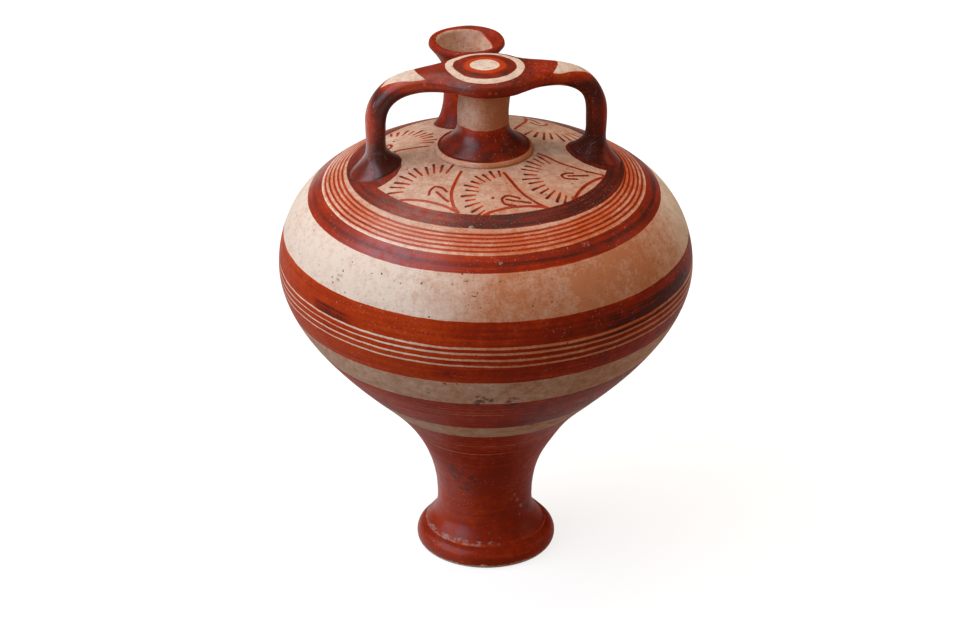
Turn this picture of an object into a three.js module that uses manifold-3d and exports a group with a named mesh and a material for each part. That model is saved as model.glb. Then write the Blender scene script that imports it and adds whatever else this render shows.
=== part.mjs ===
// Stirrup jar: a closed jar of fired clay, thrown on the wheel in pieces and luted together.
// A solid false neck with a domed disc shuts the top, two strap handles run from the disc to the
// shoulder, and an open spout stands on the shoulder behind the disc.
// Millimetres, +Z up. The origin is the centre of the foot's resting ring. The handles lie along
// X, left at -X and right at +X, and the spout stands near +Y.
import * as THREE from 'three';
import { mergeVertices } from 'three/addons/utils/BufferGeometryUtils.js';
import Module from 'manifold-3d';

const wasm = await Module();
wasm.setup();

// The gap that is left round a curved joint, and how far a cutting shape runs past what it cuts
const FIT_GAP = 0.3;
const CUT_PAST = 2;

// Foot: a thrown disc with a rounded edge, a groove above it and a shallow hollow underneath
const FOOT_HEIGHT = 8.2;
const FOOT_REST_RADIUS = 22.6;
const FOOT_EDGE_PULL = 2.1;
const FOOT_GROOVE_RADIUS = 20.7;
const FOOT_GROOVE_DROP = 0.9;
const FOOT_RING_WIDTH = 6.2;
const FOOT_HOLLOW_DEPTH = 5.2;

// Stem: solid, flared on to the foot, narrowest a little above it
const STEM_FOOT_RADIUS = 20.5;
const STEM_FOOT_ANGLE_DEG = 128;
const STEM_WAIST_RADIUS = 16.4;
const STEM_WAIST_RISE = 9.2;
const STEM_LENGTH = 32.6;
const STEM_PULL = 21;

// Lower body: a deep bowl that springs from the stem, runs straight at the flank and turns
// upright at the belly
const FLANK_RADIUS = 38;
const FLANK_RISE = 19.3;
const FLANK_SLOPE_DEG = 43.5;
const FLANK_PULL_DOWN = 12.8;
const FLANK_PULL_UP = 15;
const BELLY_RADIUS = 69.5;
const LOWER_BODY_HEIGHT = 65.8;
const BELLY_PULL_DOWN = 17.2;
const WALL = 5;
const FLOOR_THICKNESS = 7;

// Upper body: the shoulder, drawn in to a small level seat for the neck
const SHOULDER_RISE = 40.8;
const BELLY_PULL_UP = 24;
const SEAT_RADIUS = 16.8;
const SEAT_PULL = 32.6;
const SEAT_SLOPE_DEG = 5.7;

// Neck collar and false neck: the neck's plug fills the hole in the shoulder
const COLLAR_THICKNESS = 1.6;
const COLLAR_BEVEL = 0.8;
const PLUG_RADIUS = 9;
const PLUG_PAST_WALL = 1.5;
const NECK_FLARE_RADIUS = 14.8;
const NECK_FLARE_HEIGHT = 8.4;
const NECK_FLARE_ANGLE_DEG = 142;
const NECK_RADIUS = 8.5;
const NECK_LENGTH = 21;
const NECK_TOP_RADIUS = 10.4;
const NECK_SPREAD_HEIGHT = 4.5;

// False mouth: a domed disc on the false neck
const DISC_RADIUS = 16;
const DISC_UNDERCUT = 2.6;
const DISC_EDGE_THICKNESS = 2.6;
const DISC_EDGE_ROUND = 1.2;
const DISC_DOME = 2.2;

// Handles: straps that leave the disc's edge level and turn down to the shoulder
const HANDLE_REACH = 37.1;
const HANDLE_LEG_WIDTH = 10.6;
const HANDLE_LEG_THICKNESS = 6.6;
const HANDLE_END_WIDTH = 15.5;
const HANDLE_END_THICKNESS = 5;
const HANDLE_TUCK_IN = 3;
const HANDLE_TOP_PULL = 20;
const HANDLE_TOP_DROP = 1.6;
const HANDLE_BEND_DROP = 15.2;
const HANDLE_BEND_PULL = 13;

// Clay luted round each handle's lower end
const ROOT_HALF_DEPTH = 9.8;
const ROOT_HALF_WIDTH = 11;
const ROOT_HEIGHT = 8;
const ROOT_LIP = 0.9;

// Spout: a tube with a wide flared mouth that leans outwards, its lower end set into the shoulder
const SPOUT_TO_DISC = 1.4;
const SPOUT_TO_COLLAR = 0.5;
const SPOUT_OFF_AXIS_DEG = 3;
const SPOUT_HEIGHT = 28.2;
const SPOUT_RADIUS = 7.4;
const SPOUT_FLARE_HEIGHT = 13;
const SPOUT_FLARE_ANGLE_DEG = 52;
const SPOUT_LIP_RADIUS = 12.6;
const SPOUT_LIP_HEIGHT = 1.8;
const SPOUT_LIP_ROUND = 1.2;
const SPOUT_MOUTH_RADIUS = 9.8;
const SPOUT_MOUTH_DROP = 0.9;
const SPOUT_FUNNEL_DEPTH = 11;
const SPOUT_BORE_RADIUS = 4.6;
const SPOUT_TENON_WALL = 1.8;

// Clay luted round the spout's lower end
const SPOUT_ROOT_RADIUS = 10.6;
const SPOUT_ROOT_HEIGHT = 6.5;

// How finely the turned pieces and the handles are divided
const BODY_SIDES = 48;
const NECK_SIDES = 36;
const SPOUT_SIDES = 28;
const STRAP_SIDES = 16;
const STRAP_STEPS = 16;
const ROOT_SIDES = 24;
const ROOT_STEPS = 5;

// Heights of the joints, stacked from the foot up
const STEM_TOP = FOOT_HEIGHT + STEM_LENGTH;
const BELLY_HEIGHT = STEM_TOP + LOWER_BODY_HEIGHT;
const SEAT_HEIGHT = BELLY_HEIGHT + SHOULDER_RISE;
const COLLAR_TOP = SEAT_HEIGHT + COLLAR_THICKNESS;
const NECK_TOP = COLLAR_TOP + NECK_LENGTH;
const DISC_EDGE_LOW = NECK_TOP + DISC_UNDERCUT;
const DISC_EDGE_HIGH = DISC_EDGE_LOW + DISC_EDGE_THICKNESS;
const DISC_TOP = DISC_EDGE_HIGH + DISC_DOME;

// Distances from the axis: the collar's edge, and the spout's middle at its lower end and mouth
const COLLAR_RADIUS = SEAT_RADIUS - FIT_GAP;
const SPOUT_FOOT_REACH = COLLAR_RADIUS + SPOUT_TO_COLLAR + SPOUT_ROOT_RADIUS;
const SPOUT_MOUTH_REACH = DISC_RADIUS + SPOUT_TO_DISC + SPOUT_LIP_RADIUS;

// Fired clay: bare, and under a lustrous slip that fired red or dark
const BARE_CLAY = { color: 0xcfae94, roughness: 0.8, metalness: 0 };
const RED_SLIP = { color: 0x8a3019, roughness: 0.45, metalness: 0 };
const DARK_SLIP = { color: 0x64301f, roughness: 0.4, metalness: 0 };

// A point of an outline: distance from the axis, and height
const at = (radius, height) => new THREE.Vector2(radius, height);

// A step from an outline point along a direction in degrees, where 90 is straight up
function stepFrom(point, length, angleDeg) {
  const angle = THREE.MathUtils.degToRad(angleDeg);
  return at(point.x + length * Math.cos(angle), point.y + length * Math.sin(angle));
}

// A cubic curve that leaves its start and reaches its end in given directions
function curveBetween(start, startPull, startAngle, end, endPull, endAngle) {
  const startHandle = stepFrom(start, startPull, startAngle);
  const endHandle = stepFrom(end, -endPull, endAngle);
  return new THREE.CubicBezierCurve(start, startHandle, endHandle, end);
}

// The parameter, from 0 to 1, at which a steadily rising or falling measure reaches a value
function parameterWhere(measure, value) {
  const rising = measure(1) > measure(0);
  let low = 0;
  let high = 1;
  for (let halving = 0; halving < 40; halving += 1) {
    const middle = (low + high) / 2;
    if ((measure(middle) < value) === rising) {
      low = middle;
    } else {
      high = middle;
    }
  }
  return (low + high) / 2;
}

// A point at a distance inside a curve that runs up the outside of a wall
function insidePoint(curve, parameter, depth) {
  const point = curve.getPoint(parameter);
  const tangent = curve.getTangent(parameter);
  return at(point.x - tangent.y * depth, point.y + tangent.x * depth);
}

function insidePoints(curve, from, to, steps, depth) {
  return Array.from({ length: steps + 1 }, (_, step) => {
    return insidePoint(curve, THREE.MathUtils.lerp(from, to, step / steps), depth);
  });
}

// A closed geometry: equal points are merged and collapsed faces are dropped
function closed(geometry) {
  geometry.deleteAttribute('normal');
  geometry.deleteAttribute('uv');
  const merged = mergeVertices(geometry, 1e-4);
  const corners = merged.index.array;
  const kept = [];
  for (let face = 0; face < corners.length; face += 3) {
    const [first, second, third] = corners.slice(face, face + 3);
    if (first !== second && second !== third && third !== first) {
      kept.push(first, second, third);
    }
  }
  merged.setIndex(kept);
  return merged;
}

// A piece turned on the wheel. Its outline runs up the outside, and then back to the axis or down
// a bore to where it began.
function turned(outline, sides) {
  const geometry = new THREE.LatheGeometry(outline, sides);
  geometry.rotateX(Math.PI / 2);
  return closed(geometry);
}

// A skin over rings of points, from the first to the last, with a flat face at each end
function lofted(rings) {
  const sides = rings[0].length;
  const last = (rings.length - 1) * sides;
  const faces = [];
  for (let low = 0; low < last; low += sides) {
    const high = low + sides;
    for (let side = 0; side < sides; side += 1) {
      const next = (side + 1) % sides;
      faces.push(low + side, low + next, high + next);
      faces.push(low + side, high + next, high + side);
    }
  }
  for (let side = 1; side + 1 < sides; side += 1) {
    faces.push(0, side + 1, side);
    faces.push(last, last + side, last + side + 1);
  }
  const geometry = new THREE.BufferGeometry();
  const positions = rings.flat().flatMap((point) => point.toArray());
  geometry.setAttribute('position', new THREE.Float32BufferAttribute(positions, 3));
  geometry.setIndex(faces);
  return closed(geometry);
}

// An ellipse of points round a centre: its depth lies along a direction in the XZ plane, and its
// width along Y
function ellipseRing(centre, depthAxis, halfDepth, halfWidth, sides) {
  return Array.from({ length: sides }, (_, side) => {
    const angle = (2 * Math.PI * side) / sides;
    const point = centre.clone().addScaledVector(depthAxis, halfDepth * Math.cos(angle));
    point.y += halfWidth * Math.sin(angle);
    return point;
  });
}

// A geometry as a solid that can be joined and cut, and back again
function solidOf(geometry) {
  return new wasm.Manifold(new wasm.Mesh({
    numProp: 3,
    vertProperties: new Float32Array(geometry.attributes.position.array),
    triVerts: new Uint32Array(geometry.index.array),
  }));
}

function geometryOf(solid) {
  const mesh = solid.getMesh();
  const geometry = new THREE.BufferGeometry();
  geometry.setAttribute('position', new THREE.Float32BufferAttribute(mesh.vertProperties, 3));
  geometry.setIndex(Array.from(mesh.triVerts));
  return geometry;
}

// The jar's outline, in four curves that each run upwards
const stemFoot = at(STEM_FOOT_RADIUS, FOOT_HEIGHT);
const waist = at(STEM_WAIST_RADIUS, FOOT_HEIGHT + STEM_WAIST_RISE);
const flank = at(FLANK_RADIUS, STEM_TOP + FLANK_RISE);
const belly = at(BELLY_RADIUS, BELLY_HEIGHT);
const bellyInside = at(BELLY_RADIUS - WALL, BELLY_HEIGHT);
const seat = at(SEAT_RADIUS, SEAT_HEIGHT);
const stemFootCurve = curveBetween(
  stemFoot, STEM_WAIST_RISE / 2, STEM_FOOT_ANGLE_DEG, waist, STEM_WAIST_RISE / 2, 90,
);
const stemCurve = curveBetween(waist, STEM_PULL, 90, flank, FLANK_PULL_DOWN, FLANK_SLOPE_DEG);
const flankCurve = curveBetween(flank, FLANK_PULL_UP, FLANK_SLOPE_DEG, belly, BELLY_PULL_DOWN, 90);
const shoulderCurve = curveBetween(belly, BELLY_PULL_UP, 90, seat, SEAT_PULL, 180 - SEAT_SLOPE_DEG);
const stemTopParameter = parameterWhere((value) => stemCurve.getPoint(value).y, STEM_TOP);

// Height of the shoulder's surface at a distance from the axis
function shoulderHeight(radius) {
  const parameter = parameterWhere((value) => shoulderCurve.getPoint(value).x, radius);
  return shoulderCurve.getPoint(parameter).y;
}

// The shoulder as a full solid, grown by the gap: it cuts what stands on the shoulder
function shoulderCutter() {
  const surface = insidePoints(shoulderCurve, 0, 1, 14, -FIT_GAP);
  const outline = [at(0, BELLY_HEIGHT), ...surface, at(0, SEAT_HEIGHT + FIT_GAP)];
  return solidOf(turned(outline, BODY_SIDES));
}

function foot() {
  const rest = at(FOOT_REST_RADIUS, 0);
  const groove = at(FOOT_GROOVE_RADIUS, FOOT_HEIGHT - FOOT_GROOVE_DROP);
  const edgeLow = at(FOOT_REST_RADIUS + FOOT_EDGE_PULL, FOOT_HEIGHT * 0.12);
  const edgeHigh = at(FOOT_REST_RADIUS + FOOT_EDGE_PULL, FOOT_HEIGHT * 0.75);
  const edge = new THREE.CubicBezierCurve(rest, edgeLow, edgeHigh, groove);
  const hollowTop = at(0, FOOT_HOLLOW_DEPTH);
  const hollowRim = at(FOOT_REST_RADIUS - FOOT_RING_WIDTH, 0);
  const hollowBend = at(hollowRim.x * 0.8, FOOT_HOLLOW_DEPTH);
  const hollow = new THREE.QuadraticBezierCurve(hollowTop, hollowBend, hollowRim);
  const outline = [...hollow.getPoints(5), ...edge.getPoints(8), stemFoot, at(0, FOOT_HEIGHT)];
  return turned(outline, BODY_SIDES);
}

function stem() {
  const shaft = insidePoints(stemCurve, 0, stemTopParameter, 5, 0);
  const outline = [at(0, FOOT_HEIGHT), ...stemFootCurve.getPoints(4), ...shaft.slice(1), at(0, STEM_TOP)];
  return turned(outline, BODY_SIDES);
}

// A bowl: up the outside to the belly, across the joint's face and down the inner wall
function lowerBody() {
  const floor = STEM_TOP + FLOOR_THICKNESS;
  const floorParameter = parameterWhere((value) => insidePoint(stemCurve, value, WALL).y, floor);
  const outline = [
    at(0, STEM_TOP),
    ...insidePoints(stemCurve, stemTopParameter, 1, 4, 0),
    ...insidePoints(flankCurve, 0, 1, 8, 0).slice(1),
    bellyInside,
    ...insidePoints(flankCurve, 1, 0, 6, WALL).slice(1),
    ...insidePoints(stemCurve, 1, floorParameter, 3, WALL).slice(1),
    at(0, floor),
  ];
  return turned(outline, BODY_SIDES);
}

// The shoulder: up the outside to the level seat, down the neck's hole and along the inner wall
function upperBody() {
  const holeRadius = PLUG_RADIUS + FIT_GAP;
  const outline = [
    ...shoulderCurve.getPoints(11),
    at(holeRadius, SEAT_HEIGHT),
    at(holeRadius, SEAT_HEIGHT - WALL),
    ...insidePoints(shoulderCurve, 1, 0, 9, WALL).slice(0, -1),
    bellyInside,
    belly,
  ];
  const shell = solidOf(turned(outline, BODY_SIDES));
  const hole = spoutRod(SPOUT_BORE_RADIUS + SPOUT_TENON_WALL + FIT_GAP, -WALL - CUT_PAST, CUT_PAST);
  return geometryOf(shell.subtract(hole));
}

function neckCollar() {
  const holeRadius = PLUG_RADIUS + FIT_GAP;
  const outline = [
    at(holeRadius, SEAT_HEIGHT),
    at(COLLAR_RADIUS, SEAT_HEIGHT),
    at(COLLAR_RADIUS, COLLAR_TOP - COLLAR_BEVEL),
    at(COLLAR_RADIUS - COLLAR_BEVEL, COLLAR_TOP),
    at(holeRadius, COLLAR_TOP),
    at(holeRadius, SEAT_HEIGHT),
  ];
  return turned(outline, NECK_SIDES);
}

// Solid: the plug through the shoulder, the flare on the collar, the neck and its spread top
function falseNeck() {
  const plugLow = SEAT_HEIGHT - WALL - PLUG_PAST_WALL;
  const flareLow = at(NECK_FLARE_RADIUS, COLLAR_TOP);
  const flareHigh = at(NECK_RADIUS, COLLAR_TOP + NECK_FLARE_HEIGHT);
  const flare = curveBetween(flareLow, 4, NECK_FLARE_ANGLE_DEG, flareHigh, 4, 90);
  const spreadLow = at(NECK_RADIUS, NECK_TOP - NECK_SPREAD_HEIGHT);
  const spreadHigh = at(NECK_TOP_RADIUS, NECK_TOP);
  const spread = curveBetween(spreadLow, NECK_SPREAD_HEIGHT / 2, 90, spreadHigh, 1.5, 45);
  const outline = [
    at(0, plugLow),
    at(PLUG_RADIUS, plugLow),
    at(PLUG_RADIUS, COLLAR_TOP),
    ...flare.getPoints(6),
    ...spread.getPoints(4),
    at(0, NECK_TOP),
  ];
  return turned(outline, NECK_SIDES);
}

// The domed disc, grown on every side where it cuts the handles
function domedDisc(grown) {
  const roundStart = at(DISC_RADIUS + grown - DISC_EDGE_ROUND, DISC_EDGE_LOW - grown);
  const roundEnd = at(roundStart.x, DISC_EDGE_HIGH + grown);
  const roundPull = (DISC_EDGE_ROUND * 4) / 3;
  const edge = curveBetween(roundStart, roundPull, 0, roundEnd, roundPull, 180);
  const top = at(0, DISC_TOP + grown);
  const dome = new THREE.QuadraticBezierCurve(roundEnd, at(DISC_RADIUS * 0.45, top.y), top);
  const outline = [
    at(0, NECK_TOP - grown),
    at(NECK_TOP_RADIUS + grown, NECK_TOP - grown),
    ...edge.getPoints(4),
    ...dome.getPoints(5).slice(1),
  ];
  return turned(outline, NECK_SIDES);
}

// The right handle's middle line, from inside the disc's edge to below the shoulder's surface
function strapPath() {
  const discEdgeMiddle = (DISC_EDGE_LOW + DISC_EDGE_HIGH) / 2;
  const start = new THREE.Vector3(DISC_RADIUS - HANDLE_TUCK_IN, 0, discEdgeMiddle);
  const bendEnd = new THREE.Vector3(HANDLE_REACH, 0, start.z - HANDLE_BEND_DROP);
  const topPull = new THREE.Vector3(start.x + HANDLE_TOP_PULL, 0, start.z - HANDLE_TOP_DROP);
  const bendPull = new THREE.Vector3(HANDLE_REACH, 0, bendEnd.z + HANDLE_BEND_PULL);
  const legEnd = new THREE.Vector3(HANDLE_REACH, 0, shoulderHeight(HANDLE_REACH) - HANDLE_LEG_THICKNESS);
  const path = new THREE.CurvePath();
  path.add(new THREE.CubicBezierCurve3(start, topPull, bendPull, bendEnd));
  path.add(new THREE.LineCurve3(bendEnd, legEnd));
  return path;
}

// The right handle's strap: broad and thin where it meets the disc, rounder down the leg
function strap(grown) {
  const path = strapPath();
  const rings = Array.from({ length: STRAP_STEPS + 1 }, (_, step) => {
    const share = step / STRAP_STEPS;
    const tangent = path.getTangentAt(share);
    const inwards = new THREE.Vector3(tangent.z, 0, -tangent.x);
    const narrowed = THREE.MathUtils.smoothstep(share, 0, 0.35);
    const width = THREE.MathUtils.lerp(HANDLE_END_WIDTH, HANDLE_LEG_WIDTH, narrowed);
    const thickness = THREE.MathUtils.lerp(HANDLE_END_THICKNESS, HANDLE_LEG_THICKNESS, narrowed);
    const centre = path.getPointAt(share);
    return ellipseRing(centre, inwards, thickness / 2 + grown, width / 2 + grown, STRAP_SIDES);
  });
  return solidOf(lofted(rings));
}

function handle() {
  const disc = solidOf(domedDisc(FIT_GAP));
  return geometryOf(strap(0).subtract(shoulderCutter()).subtract(disc));
}

// Clay heaped on the shoulder round an upright piece: it follows the shoulder's slope, and draws
// in from a wide base to a thin lip
function heap(centreAt, base, lip, height) {
  const depthAxis = new THREE.Vector3(1, 0, 0);
  const ringAt = (rise, spread) => {
    const halfDepth = THREE.MathUtils.lerp(lip.halfDepth, base.halfDepth, spread);
    const halfWidth = THREE.MathUtils.lerp(lip.halfWidth, base.halfWidth, spread);
    const ring = ellipseRing(centreAt(rise), depthAxis, halfDepth, halfWidth, ROOT_SIDES);
    return ring.map((point) => point.setZ(shoulderHeight(Math.hypot(point.x, point.y)) + rise));
  };
  const rings = [ringAt(-CUT_PAST, 1)];
  for (let step = 0; step <= ROOT_STEPS; step += 1) {
    const share = step / ROOT_STEPS;
    rings.push(ringAt(height * share, (1 - share) ** 2.2));
  }
  return solidOf(lofted(rings)).subtract(shoulderCutter());
}

function handleRoot() {
  const base = { halfDepth: ROOT_HALF_DEPTH, halfWidth: ROOT_HALF_WIDTH };
  const lip = {
    halfDepth: HANDLE_LEG_THICKNESS / 2 + FIT_GAP + ROOT_LIP,
    halfWidth: HANDLE_LEG_WIDTH / 2 + FIT_GAP + ROOT_LIP,
  };
  const clay = heap(() => new THREE.Vector3(HANDLE_REACH, 0, 0), base, lip, ROOT_HEIGHT);
  return geometryOf(clay.subtract(strap(FIT_GAP)));
}

// The spout's middle at a rise above the shoulder. It leans, while its sections stay level.
function spoutCentre(rise) {
  const angle = THREE.MathUtils.degToRad(90 + SPOUT_OFF_AXIS_DEG);
  const reach = THREE.MathUtils.lerp(SPOUT_FOOT_REACH, SPOUT_MOUTH_REACH, rise / SPOUT_HEIGHT);
  const height = shoulderHeight(SPOUT_FOOT_REACH) + rise;
  return new THREE.Vector3(reach * Math.cos(angle), reach * Math.sin(angle), height);
}

// A turned solid, its outline given in rises above the shoulder, set on the spout's leaning line
function leaning(outline) {
  const geometry = turned(outline, SPOUT_SIDES);
  const positions = geometry.attributes.position;
  for (let index = 0; index < positions.count; index += 1) {
    const centre = spoutCentre(positions.getZ(index));
    positions.setXYZ(index, positions.getX(index) + centre.x, positions.getY(index) + centre.y, centre.z);
  }
  return solidOf(geometry);
}

function spoutRod(radius, low, high) {
  return leaning([at(0, low), at(radius, low), at(radius, high), at(0, high)]);
}

function spout() {
  const mouthRise = SPOUT_HEIGHT;
  const flareLow = at(SPOUT_RADIUS, mouthRise - SPOUT_FLARE_HEIGHT);
  const lipEdge = at(SPOUT_LIP_RADIUS, mouthRise - SPOUT_LIP_HEIGHT);
  const lipTop = at(SPOUT_LIP_RADIUS - SPOUT_LIP_ROUND, mouthRise);
  const flare = curveBetween(flareLow, 5, 90, lipEdge, 3, SPOUT_FLARE_ANGLE_DEG);
  const lip = new THREE.QuadraticBezierCurve(lipEdge, at(SPOUT_LIP_RADIUS, mouthRise), lipTop);
  const outside = leaning([
    at(0, -CUT_PAST),
    at(SPOUT_RADIUS, -CUT_PAST),
    ...flare.getPoints(6),
    ...lip.getPoints(3).slice(1),
    at(0, mouthRise),
  ]);
  const mouth = at(SPOUT_MOUTH_RADIUS, mouthRise - SPOUT_MOUTH_DROP);
  const throat = at(SPOUT_BORE_RADIUS, mouthRise - SPOUT_FUNNEL_DEPTH);
  const funnel = curveBetween(throat, 3, 80, mouth, 4, 75);
  const pastLip = lipTop.clone().multiplyScalar(2).sub(mouth);
  const bore = leaning([
    at(0, -WALL - CUT_PAST),
    at(SPOUT_BORE_RADIUS, -WALL - CUT_PAST),
    ...funnel.getPoints(5),
    lipTop,
    pastLip,
    at(0, pastLip.y),
  ]);
  const tenon = spoutRod(SPOUT_BORE_RADIUS + SPOUT_TENON_WALL, -WALL, CUT_PAST);
  return geometryOf(outside.subtract(shoulderCutter()).add(tenon).subtract(bore));
}

function spoutRoot() {
  const base = { halfDepth: SPOUT_ROOT_RADIUS, halfWidth: SPOUT_ROOT_RADIUS };
  const lipRadius = SPOUT_RADIUS + FIT_GAP + ROOT_LIP;
  const clay = heap(spoutCentre, base, { halfDepth: lipRadius, halfWidth: lipRadius }, SPOUT_ROOT_HEIGHT);
  const socket = spoutRod(SPOUT_RADIUS + FIT_GAP, -CUT_PAST, SPOUT_ROOT_HEIGHT + CUT_PAST);
  return geometryOf(clay.subtract(socket));
}

// A named piece with its own material
function piece(name, geometry, finish) {
  geometry.computeVertexNormals();
  const mesh = new THREE.Mesh(geometry, new THREE.MeshStandardMaterial(finish));
  mesh.name = name;
  return mesh;
}

// A right-hand piece turned half round the axis to stand on the left
function onTheLeft(mesh) {
  const group = new THREE.Group();
  group.rotation.z = Math.PI;
  group.add(mesh);
  return group;
}

const jar = new THREE.Group();
jar.add(
  piece('foot', foot(), RED_SLIP),
  piece('stem', stem(), RED_SLIP),
  piece('lower_body', lowerBody(), RED_SLIP),
  piece('upper_body', upperBody(), BARE_CLAY),
  piece('neck_collar', neckCollar(), BARE_CLAY),
  piece('false_neck', falseNeck(), BARE_CLAY),
  piece('false_mouth_disc', domedDisc(0), DARK_SLIP),
  piece('handle_right', handle(), DARK_SLIP),
  onTheLeft(piece('handle_left', handle(), DARK_SLIP)),
  piece('handle_root_right', handleRoot(), DARK_SLIP),
  onTheLeft(piece('handle_root_left', handleRoot(), DARK_SLIP)),
  piece('spout', spout(), DARK_SLIP),
  piece('spout_root', spoutRoot(), DARK_SLIP),
);

export default jar;
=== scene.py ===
"""Looks of a painted stirrup jar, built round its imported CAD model.

The sums are in millimetres and the finished meshes in metres. +Z is up, the middle of the foot is the
origin, the handles lie along X and the spout stands near +Y. The file is laid out as an add-on: each
piece has an operator, and its sizes and colours are properties of the scene.
"""

import math
from types import SimpleNamespace

import bmesh
import bpy
import numpy as np
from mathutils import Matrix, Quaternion, Vector


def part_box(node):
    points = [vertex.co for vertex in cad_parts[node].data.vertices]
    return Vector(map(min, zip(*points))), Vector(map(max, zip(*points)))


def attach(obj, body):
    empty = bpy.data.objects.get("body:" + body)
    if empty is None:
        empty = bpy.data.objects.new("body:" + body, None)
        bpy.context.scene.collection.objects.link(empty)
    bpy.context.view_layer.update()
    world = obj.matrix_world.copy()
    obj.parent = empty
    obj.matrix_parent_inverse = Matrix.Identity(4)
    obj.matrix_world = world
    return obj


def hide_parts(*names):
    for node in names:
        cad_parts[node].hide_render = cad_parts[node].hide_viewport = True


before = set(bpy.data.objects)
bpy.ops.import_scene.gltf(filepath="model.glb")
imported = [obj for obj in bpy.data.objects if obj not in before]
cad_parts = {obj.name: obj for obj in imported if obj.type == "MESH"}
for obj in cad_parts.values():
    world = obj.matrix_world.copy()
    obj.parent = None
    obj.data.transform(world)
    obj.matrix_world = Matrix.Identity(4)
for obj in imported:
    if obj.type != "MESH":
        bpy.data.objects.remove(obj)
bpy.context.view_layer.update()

bl_info = {
    "name": "Painted stirrup jar",
    "version": (1, 0, 0),
    "blender": (4, 5, 0),
    "location": "3D View > Sidebar > Jar",
    "description": "Makes the thrown, pulled and painted clay pieces of a stirrup jar, and its stage",
    "category": "Object",
}

MM = 0.001
BODY = "root"


def corners(node):
    """Lowest and highest corner of a CAD node, in millimetres."""
    low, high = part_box(node)
    return np.array(low) / MM, np.array(high) / MM


# Sizes that the CAD model fixes
FOOT_TOP = corners("foot")[1][2]
STEM_TOP = corners("stem")[1][2]
BELLY_HEIGHT = corners("lower_body")[1][2]
BELLY_RADIUS = corners("upper_body")[1][0]
SEAT_HEIGHT = corners("upper_body")[1][2]
COLLAR_RADIUS = corners("neck_collar")[1][0]
COLLAR_TOP = corners("neck_collar")[1][2]
NECK_FLARE_RADIUS = corners("false_neck")[1][0]
NECK_TOP = corners("false_neck")[1][2]
DISC_RADIUS = corners("false_mouth_disc")[1][0]
DISC_TOP = corners("false_mouth_disc")[1][2]
HANDLE_OUTSIDE = corners("handle_right")[1][0]
SPOUT_LOW, SPOUT_HIGH = corners("spout")
LIP_RADIUS = (SPOUT_HIGH[0] - SPOUT_LOW[0]) / 2
MOUTH_CENTRE = np.array([SPOUT_HIGH[0] - LIP_RADIUS, SPOUT_HIGH[1] - LIP_RADIUS, SPOUT_HIGH[2]])
MOUTH_REACH = np.linalg.norm(MOUTH_CENTRE[:2])
MOUTH_DIRECTION = MOUTH_CENTRE[:2] / MOUTH_REACH

# Gap round what fits in a hole, and rounding of the collar's edge, in millimetres
FIT_GAP = 0.3
COLLAR_ROUND = 1.5

# How full the disc's dome is: 0 is a cone
DOME_FULLNESS = 0.58

# How much lower the right strap starts, and how much farther in its leg stands
START_LOWER = 0.3
LEG_IN = 0.1

# A strap spreads into the disc from a distance from the axis inwards, over a length, by this much
WEB_FROM = 24
WEB_LENGTH = 12.7
WEB_SPREAD = 3.6
WEB_CURVE = 2.2

# The clay round a leg draws in by this power, to this far under the leg's skin
HEAP_CURVE = 2.6
HEAP_UNDER_LEG = 0.4

# The spout's end in the shoulder, and how far it leans outwards for each millimetre up
TENON_RADIUS = 6.4
TENON_DEPTH = 5.2
SPOUT_LEAN = 0.085

EAST, NORTH = np.array([1.0, 0.0, 0.0]), np.array([0.0, 1.0, 0.0])


def linear(value):
    """A display value from 0 to 255 as linear light."""
    part = value / 255
    return part / 12.92 if part <= 0.04045 else ((part + 0.055) / 1.055) ** 2.4


def length(description, millimetres):
    """A property that holds a length."""
    return bpy.props.FloatProperty(
        description=description, default=millimetres * MM, unit="LENGTH", precision=4
    )


def angle(description, degrees):
    """A property that holds an angle."""
    return bpy.props.FloatProperty(description=description, default=math.radians(degrees), subtype="ANGLE")


def count(description, value):
    """A property that counts."""
    return bpy.props.IntProperty(description=description, default=value, min=1)


def colour(description, red, green, blue):
    """A property that holds a colour, given as it shows on a screen."""
    return bpy.props.FloatVectorProperty(
        description=description, subtype="COLOR", size=3, min=0, max=1,
        default=(linear(red), linear(green), linear(blue)),
    )


def named(group):
    """Gives each property of a group the name that its identifier spells."""
    for identifier, prop in group.__annotations__.items():
        prop.keywords["name"] = identifier.replace("_", " ").capitalize()
    return group


@named
class BodySizes(bpy.types.PropertyGroup):
    """The thrown body: foot, stem, bowl and shoulder."""

    foot_rest_radius: length("Outer radius of the ring it stands on", 22.6)
    foot_edge_pull: length("How far the rounded edge pulls outwards", 2.1)
    foot_shift: length("How far the foot sits to the right of the stem", 0.5)
    right_fullness: length("How far stem and bowl bulge to the right where they meet", 0.8)
    foot_ring_width: length("Width of the resting ring", 6.2)
    foot_hollow: length("Height of the hollow under the foot", 5.2)
    groove_radius: length("Radius at the groove above the foot's edge", 20.7)
    groove_drop: length("How far the groove lies below the foot's top", 0.9)
    stem_foot_radius: length("Radius where the stem meets the foot", 20.5)
    stem_foot_angle: angle("Direction in which the stem leaves the foot", 128)
    waist_radius: length("The stem where it is thinnest", 16.4)
    waist_rise: length("Height of the waist above the foot", 9.2)
    stem_pull: length("How long the stem stays upright above the waist", 21)
    flank_radius: length("Radius where the bowl's side runs straight", 38)
    flank_rise: length("Height of that place above the stem", 19.3)
    flank_slope: angle("Slope of the bowl's straight side", 43.5)
    flank_pull_down: length("How far the straight side runs down", 12.8)
    flank_pull_up: length("How far the straight side runs up", 15)
    belly_pull_down: length("How far the belly stays upright below", 17.2)
    belly_pull_up: length("How far the belly stays upright above", 24)
    seat_radius: length("Radius of the level place for the neck", 16.8)
    seat_pull: length("How far the shoulder's top stays nearly level", 32.6)
    seat_slope: angle("Slope of the shoulder next to the neck", 5.7)
    wall: length("Thickness of the body's wall", 5)
    floor: length("Thickness of clay above the stem", 7)


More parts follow.
